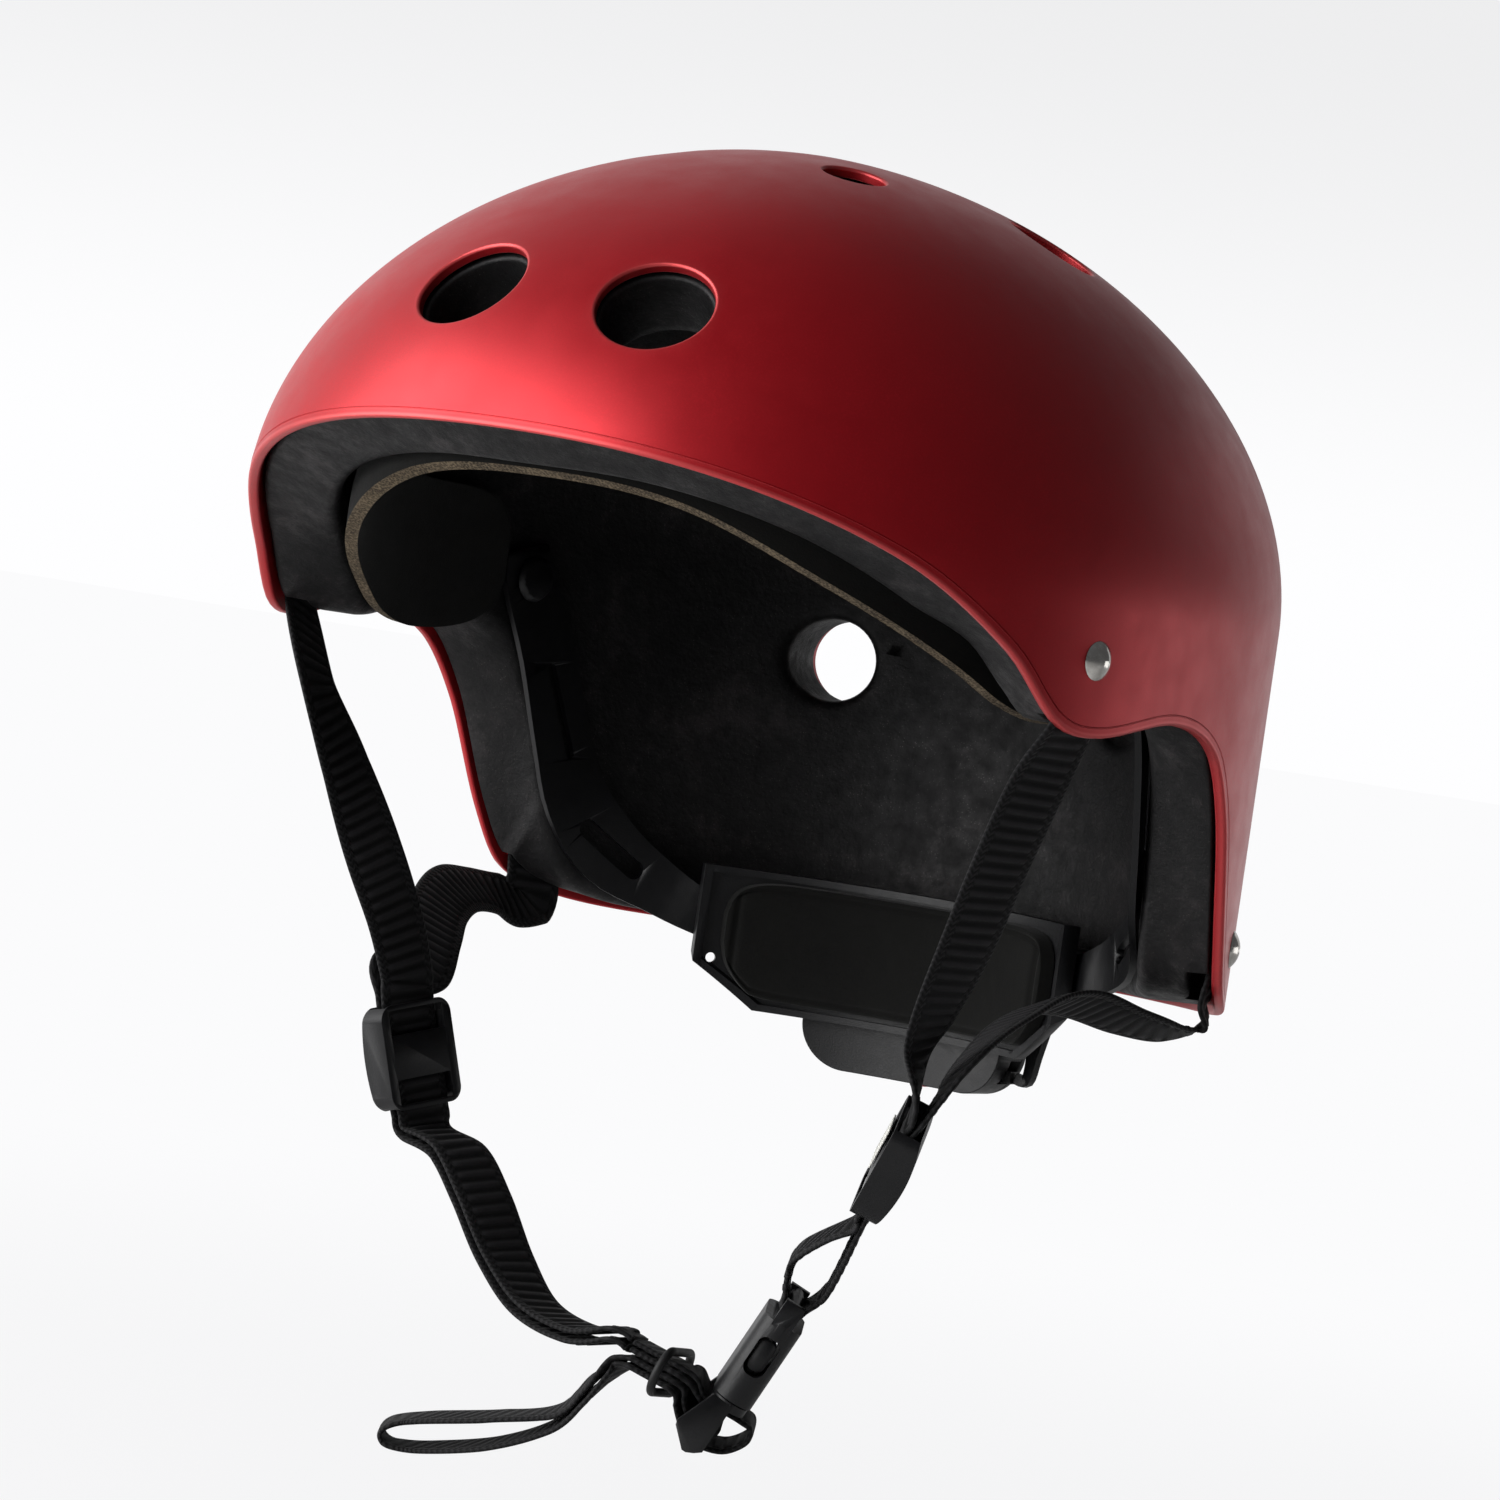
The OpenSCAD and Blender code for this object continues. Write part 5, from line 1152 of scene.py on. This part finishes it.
# %% Ribs by geometry nodes
rib_h, tail_rib_h = 0.42, 0.24
section_x = np.array([-7.5, -7.38, -7.1, -6.6, -5.9, -5.4, -5.0, -2.5, 0, 2.5, 5.0, 5.4, 5.9, 6.6, 7.1, 7.38, 7.5])
section_h = np.array([0.0, 0.3, 0.5, 0.6, 0.6, 0.52, 0.42, 0.42, 0.42, 0.42, 0.42, 0.52, 0.6, 0.6, 0.5, 0.3, 0.0])


def started_tree(name, sockets):
    """A new geometry tree with named inputs, as (name, kind, default), and its input node."""
    tree = bpy.data.node_groups.new(name, "GeometryNodeTree")
    for label, kind, start in (("Geometry", "Geometry", None), *sockets, ("Material", "Material", None)):
        socket = tree.interface.new_socket(label, in_out="INPUT", socket_type="NodeSocket" + kind)
        if start is not None:
            socket.default_value = start
    tree.interface.new_socket("Geometry", in_out="OUTPUT", socket_type="NodeSocketGeometry")
    return tree, add(tree, "NodeGroupInput").outputs


def ended_tree(tree, given, geometry):
    """Makes what the tree placed real, gives it its material and sends it out."""
    real = add(tree, "GeometryNodeRealizeInstances", [geometry])
    dyed = add(tree, "GeometryNodeSetMaterial", {"Geometry": real, "Material": given["Material"]})
    add(tree, "NodeGroupOutput", [dyed])
    return tree


def webbing_ribs():
    tree, given = started_tree("webbing_ribs", (("Rib Pitch", "Float", rib_pitch), ("Rib Height", "Float", rib_h),
                                                ("Selvedge", "Float", selvedge_from)))
    far, wide = (add(tree, "GeometryNodeInputNamedAttribute", {"Name": name}, data_type="FLOAT")
                 for name in ("along", "across"))
    turns = maths(tree, "DIVIDE", far, given["Rib Pitch"])
    wave = maths(tree, "COSINE", maths(tree, "MULTIPLY", turns, 2 * math.pi))
    crest = remap(tree, wave, -0.75, 0.45, interpolation_type="SMOOTHSTEP")
    middle = add(tree, "FunctionNodeCompare", {"A": maths(tree, "ABSOLUTE", wide), "B": given["Selvedge"]},
                 operation="LESS_THAN")
    lift = maths(tree, "MULTIPLY", maths(tree, "MULTIPLY", crest, given["Rib Height"]), mm)
    normal = add(tree, "GeometryNodeInputNormal")
    offset = add(tree, "ShaderNodeVectorMath", {0: normal, "Scale": lift}, operation="SCALE")
    raised = add(tree, "GeometryNodeSetPosition", {
        "Geometry": given["Geometry"], "Selection": middle, "Offset": offset})
    return ended_tree(tree, given, raised)


def baked(piece, keep_layers):
    """Applies a piece's modifiers and keeps the result as its mesh."""
    graph = bpy.context.evaluated_depsgraph_get()
    mesh = bpy.data.meshes.new_from_object(piece.evaluated_get(graph), preserve_all_data_layers=keep_layers,
                                           depsgraph=graph)
    piece.modifiers.clear()
    old, piece.data = piece.data, mesh
    bpy.data.meshes.remove(old)
    mesh.name = piece.name
    return mesh


def grown(piece, tree, values):
    """Runs a geometry-node tree on a piece with named inputs."""
    modifier = piece.modifiers.new(tree.name, "NODES")
    modifier.node_group = tree
    for item in tree.interface.items_tree:
        if item.item_type == "SOCKET" and item.in_out == "INPUT" and item.name in values:
            modifier[item.identifier] = values[item.name]
    baked(piece, keep_layers=True)


ribs = webbing_ribs()
print("ribs:", len(ribs.nodes), "nodes")

# %% Routes to rings
def smooth_route(keys, step, fineness=60):
    """Places and side directions every step millimetres along a smooth curve through the keys."""
    data = np.array([[*p, *s] for p, s in keys], float)
    last = len(data) - 1
    u = np.linspace(0, last, last * fineness + 1)
    i = np.minimum(u.astype(int), last - 1)
    s = (u - i)[:, None]
    a, b, c, d = data[np.maximum(i - 1, 0)], data[i], data[i + 1], data[np.minimum(i + 2, last)]
    fine = 0.5 * (2 * b + (c - a) * s + (2 * a - 5 * b + 4 * c - d) * s * s + (3 * b - 3 * c + d - a) * s ** 3)
    run = np.concatenate([[0], np.cumsum(np.linalg.norm(np.diff(fine[:, :3], axis=0), axis=1))])
    count = max(int(round(run[-1] / step)), 2)
    even = np.linspace(0, run[-1], count + 1)
    out = np.stack([np.interp(even, run, fine[:, k]) for k in range(6)], 1)
    return out[:, :3], out[:, 3:], even


def sweep(keys, shift=0.0, step=0.5):
    """Rings of a strap's section along a route, with the distance along and across at each point."""
    places, sides, far = smooth_route(keys, step)
    reach = 2  # each direction is taken over two steps to both sides
    padded = np.concatenate([np.repeat(places[:1], reach, 0), places, np.repeat(places[-1:], reach, 0)])
    forward = unit(padded[2 * reach:] - padded[:-2 * reach])
    across = unit(sides - np.sum(sides * forward, 1, keepdims=True) * forward)
    over = np.cross(forward, across)
    places = places + over * shift
    x = np.concatenate([section_x, section_x[-2:0:-1]])
    h = np.concatenate([section_h, -section_h[-2:0:-1]])
    points = places[:, None] + across[:, None] * x[None, :, None] + over[:, None] * h[None, :, None]
    return points, np.repeat(far, len(x)), np.tile(x, len(far))


print("a strap's ring:", 2 * len(section_x) - 2, "points")

# %% Straps
strap_faces = 0
for name, keys in strap_routes.items():
    points, faces, far, wide = [], [], [], []
    for shift in ((-layer - seat, layer + seat) if name == "chin_strap_right" else (0.0,)):
        rings, ring_far, ring_wide = sweep(keys, shift)
        first, (count, n) = len(points), rings.shape[:2]
        points += [*rings.reshape(-1, 3)]
        far, wide = far + list(ring_far), wide + list(ring_wide)
        faces += grid_faces(first, count, n, closed=True)
        end = first + count * n
        faces += [tuple(range(first + n - 1, first - 1, -1)), tuple(range(end - n, end))]
    piece = mesh_piece(name + "_webbing", np.array(points) * mm, faces, nylon)
    for label, values in (("along", far), ("across", wide)):
        piece.data.attributes.new(label, "FLOAT", "POINT").data.foreach_set("value", np.array(values, np.float32))
    turned_outwards(piece.data)
    grown(piece, ribs, {"Rib Pitch": rib_pitch, "Rib Height": tail_rib_h if name == "tail_strap" else rib_h,
                        "Selvedge": selvedge_from, "Material": nylon})
    weave = piece.data.uv_layers.new(name="weave")
    at_far, at_wide = (np.empty(len(piece.data.vertices), np.float32) for _ in range(2))
    piece.data.attributes["along"].data.foreach_get("value", at_far)
    piece.data.attributes["across"].data.foreach_get("value", at_wide)
    corners = np.empty(len(piece.data.loops), np.int32)
    piece.data.loops.foreach_get("vertex_index", corners)
    spots = np.stack([at_wide[corners] / web_w + 0.5, at_far[corners] / web_w], 1)
    weave.data.foreach_set("uv", spots.astype(np.float32).ravel())
    if name == "chin_strap_right":
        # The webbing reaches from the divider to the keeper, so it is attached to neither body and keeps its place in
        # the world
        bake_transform(piece)
    else:
        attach(piece, "buckle_half" if name == "tail_strap" else "helmet")
    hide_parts(name)
    strap_faces += len(piece.data.polygons)
print("webbing:", strap_faces, "faces")

# %% [markdown]
# ## Rivets
# The four domed rivets are one turned profile. It is drawn once, and geometry nodes set an instance on each of four
# points, turned to the shell's normal there: a change to the profile then reaches all four.

# %% Rivets by geometry nodes
# Radius and height from the dome down to the clinched end
rivet_profile = [(0.0, 1.92), (1.0, 1.83), (1.9, 1.59), (2.7, 1.24), (3.4, 0.8), (3.9, 0.4), (4.22, 0.14), (4.3, 0.0),
                 (4.22, -0.06), (1.9, -0.06), (1.9, -5.1), (2.2, -5.3), (3.1, -5.32), (3.45, -5.55), (3.45, -6.1),
                 (3.2, -6.4), (1.2, -6.4), (0.9, -6.1), (0.0, -6.1)]


def turned_profile(name, profile, spokes=40):
    """Faces swept round the z axis; profile points are radius and height."""
    points, faces = [], []
    for r, z in profile:
        turns = np.arange(spokes) * 2 * math.pi / spokes
        points += [(r * math.cos(turn), r * math.sin(turn), z) for turn in turns] if r else [(0, 0, z)]
    first = 0
    for (r0, _), (r1, _) in zip(profile, profile[1:]):
        n0 = spokes if r0 else 1
        for k in range(spokes):
            a, b = first + (k if r0 else 0), first + ((k + 1) % spokes if r0 else 0)
            c, d = first + n0 + (k if r1 else 0), first + n0 + ((k + 1) % spokes if r1 else 0)
            faces.append((a, c, d, b) if r0 and r1 else ((a, c, d) if r1 else (a, c, b)))
        first += n0
    piece = mesh_piece(name, np.array(points) * mm, faces)
    turned_outwards(piece.data, lambda edge: edge.is_manifold and edge.calc_face_angle(0) >= math.radians(50))
    return piece


def set_on_points():
    tree, given = started_tree("set_on_points", (("Piece", "Object", None),))
    facing = add(tree, "GeometryNodeInputNamedAttribute", {"Name": "outward"}, data_type="FLOAT_VECTOR")
    turn = add(tree, "FunctionNodeAlignRotationToVector", {"Vector": facing}, axis="Z")
    shape = add(tree, "GeometryNodeObjectInfo", {"Object": given["Piece"]}).outputs["Geometry"]
    placed = add(tree, "GeometryNodeInstanceOnPoints", {
        "Points": given["Geometry"], "Instance": shape, "Rotation": turn})
    return ended_tree(tree, given, placed)


profile_piece = turned_profile("rivet_profile", rivet_profile)
places, outwards, _ = zip(*[on_wall(hand * angle, z) for angle, z in rivets for hand in (-1, 1)])
rivet_piece = mesh_piece("rivets_domed", np.array(places) * mm, [])
outward = rivet_piece.data.attributes.new("outward", "FLOAT_VECTOR", "POINT")
outward.data.foreach_set("vector", np.array(outwards, np.float32).ravel())
grown(rivet_piece, set_on_points(), {"Piece": profile_piece, "Material": polished})
bpy.data.objects.remove(profile_piece)
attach(rivet_piece, "helmet")
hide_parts("strap_rivets")
print("rivets:", len(rivet_piece.data.vertices), "points")

# %% [markdown]
# ## Moulded hardware
# The frame's plastic parts have knife edges, which no mould gives. Each one is copied, its flat faces are merged, and
# its edges get a small round of its own size, so that every edge catches a fine line of light. Redrawing them by hand
# would give the same forms again, while this keeps them exactly where they slide and clip together.

# %% Softened parts
def softened(node, name, finish, edge, flat=0.4, sharp=32.0):
    """A copy of a frame node in its own finish, with edges rounded by edge millimetres.

    Faces within flat degrees are merged first, and edges beyond sharp degrees are rounded.
    """
    piece = bpy.data.objects.new(name, nodes[node].data.copy())
    scene.collection.objects.link(piece)
    piece.data.name = name
    piece.matrix_world = nodes[node].matrix_world.copy()
    piece.data.transform(piece.matrix_world)
    piece.matrix_world.identity()
    work = bmesh.new()
    work.from_mesh(piece.data)
    bmesh.ops.remove_doubles(work, verts=work.verts, dist=0.02 * mm)
    bmesh.ops.dissolve_limit(work, angle_limit=math.radians(flat), verts=work.verts, edges=work.edges)
    bmesh.ops.recalc_face_normals(work, faces=work.faces)
    work.to_mesh(piece.data)
    work.free()
    if piece.data.has_custom_normals:
        piece.data.normals_split_custom_set([(0, 0, 0)] * len(piece.data.loops))
    if edge:
        bevel = piece.modifiers.new("edge", "BEVEL")
        bevel.width = edge * mm
        bevel.segments = 2
        bevel.limit_method = "ANGLE"
        bevel.angle_limit = math.radians(sharp)
        bevel.use_clamp_overlap = True
        bevel.miter_outer = "MITER_ARC"
        weigh = piece.modifiers.new("weigh", "WEIGHTED_NORMAL")
        weigh.weight = 60
    mesh = baked(piece, keep_layers=False)
    mesh.shade_smooth()
    if not edge:
        mesh.set_sharp_from_angle(angle=math.radians(sharp))
    mesh.materials.clear()
    mesh.materials.append(finish)
    return piece


hardware = [("divider_left", "divider_cover_left", 0.45, "left_divider"),
            ("divider_right", "divider_cover_right", 0.45, "right_divider"),
            ("buckle_socket", "buckle_socket_body", 0.5, "helmet"),
            ("buckle_insert", "buckle_insert_body", 0.35, "buckle_half"),
            ("buckle_latch_arms", "buckle_latch_pads", 0.35, "buckle_half"),
            ("cradle_frame", "cradle_band", 0.4, "cradle"), ("dial_housing", "dial_box", 0.6, "cradle"),
            ("housing_cover", "dial_box_cover", 0.5, "cradle"), ("dial_knob", "dial_knob_satin", 0.4, "dial"),
            ("dial_cap", "dial_cap_disc", 0.3, "dial"), ("arm_pins", "arm_pin_buttons", 0.35, "helmet"),
            ("keeper_ring", "keeper_elastic", 0.05, "keeper"), ("blank_tag", "tag_cloth", 0.12, "left_divider")]
own_finish = {"dial_knob": (dial_plastic, "dial_red"), "keeper_ring": (elastic, "elastic"),
              "blank_tag": (label_cloth, "tag_white")}
for node, name, edge, body in hardware:
    finish, slot = own_finish.get(node, (black_plastic, "black_plastic"))
    piece = softened(node, name, finish, edge)
    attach(piece, body)
    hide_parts(node)
    print(name, len(piece.data.polygons), "faces")

# %% Fit arms and small parts
# The arms keep their exact form, because their many fine faces are already round; they are attached to no body
for hand in ("left", "right"):
    piece = softened("fit_arm_" + hand, "fit_arm_flexible_" + hand, arm_plastic, 0.0, flat=0.01, sharp=45.0)
    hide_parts("fit_arm_" + hand)
    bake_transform(piece)
    print(piece.name, len(piece.data.polygons), "faces")

# Frame parts that stay as they are take their finish on their own slots
for node, finish in (("pad_hook_dots", hook_tape), ("rivet_washers", zinc), ("cover_screws", zinc),
                     ("dial_screw", zinc), ("rack_left", black_plastic), ("rack_right", black_plastic),
                     ("drive_pinion", natural_acetal)):
    slots = nodes[node].material_slots
    if not slots:
        nodes[node].data.materials.append(finish)
    for place in slots:
        place.material = finish
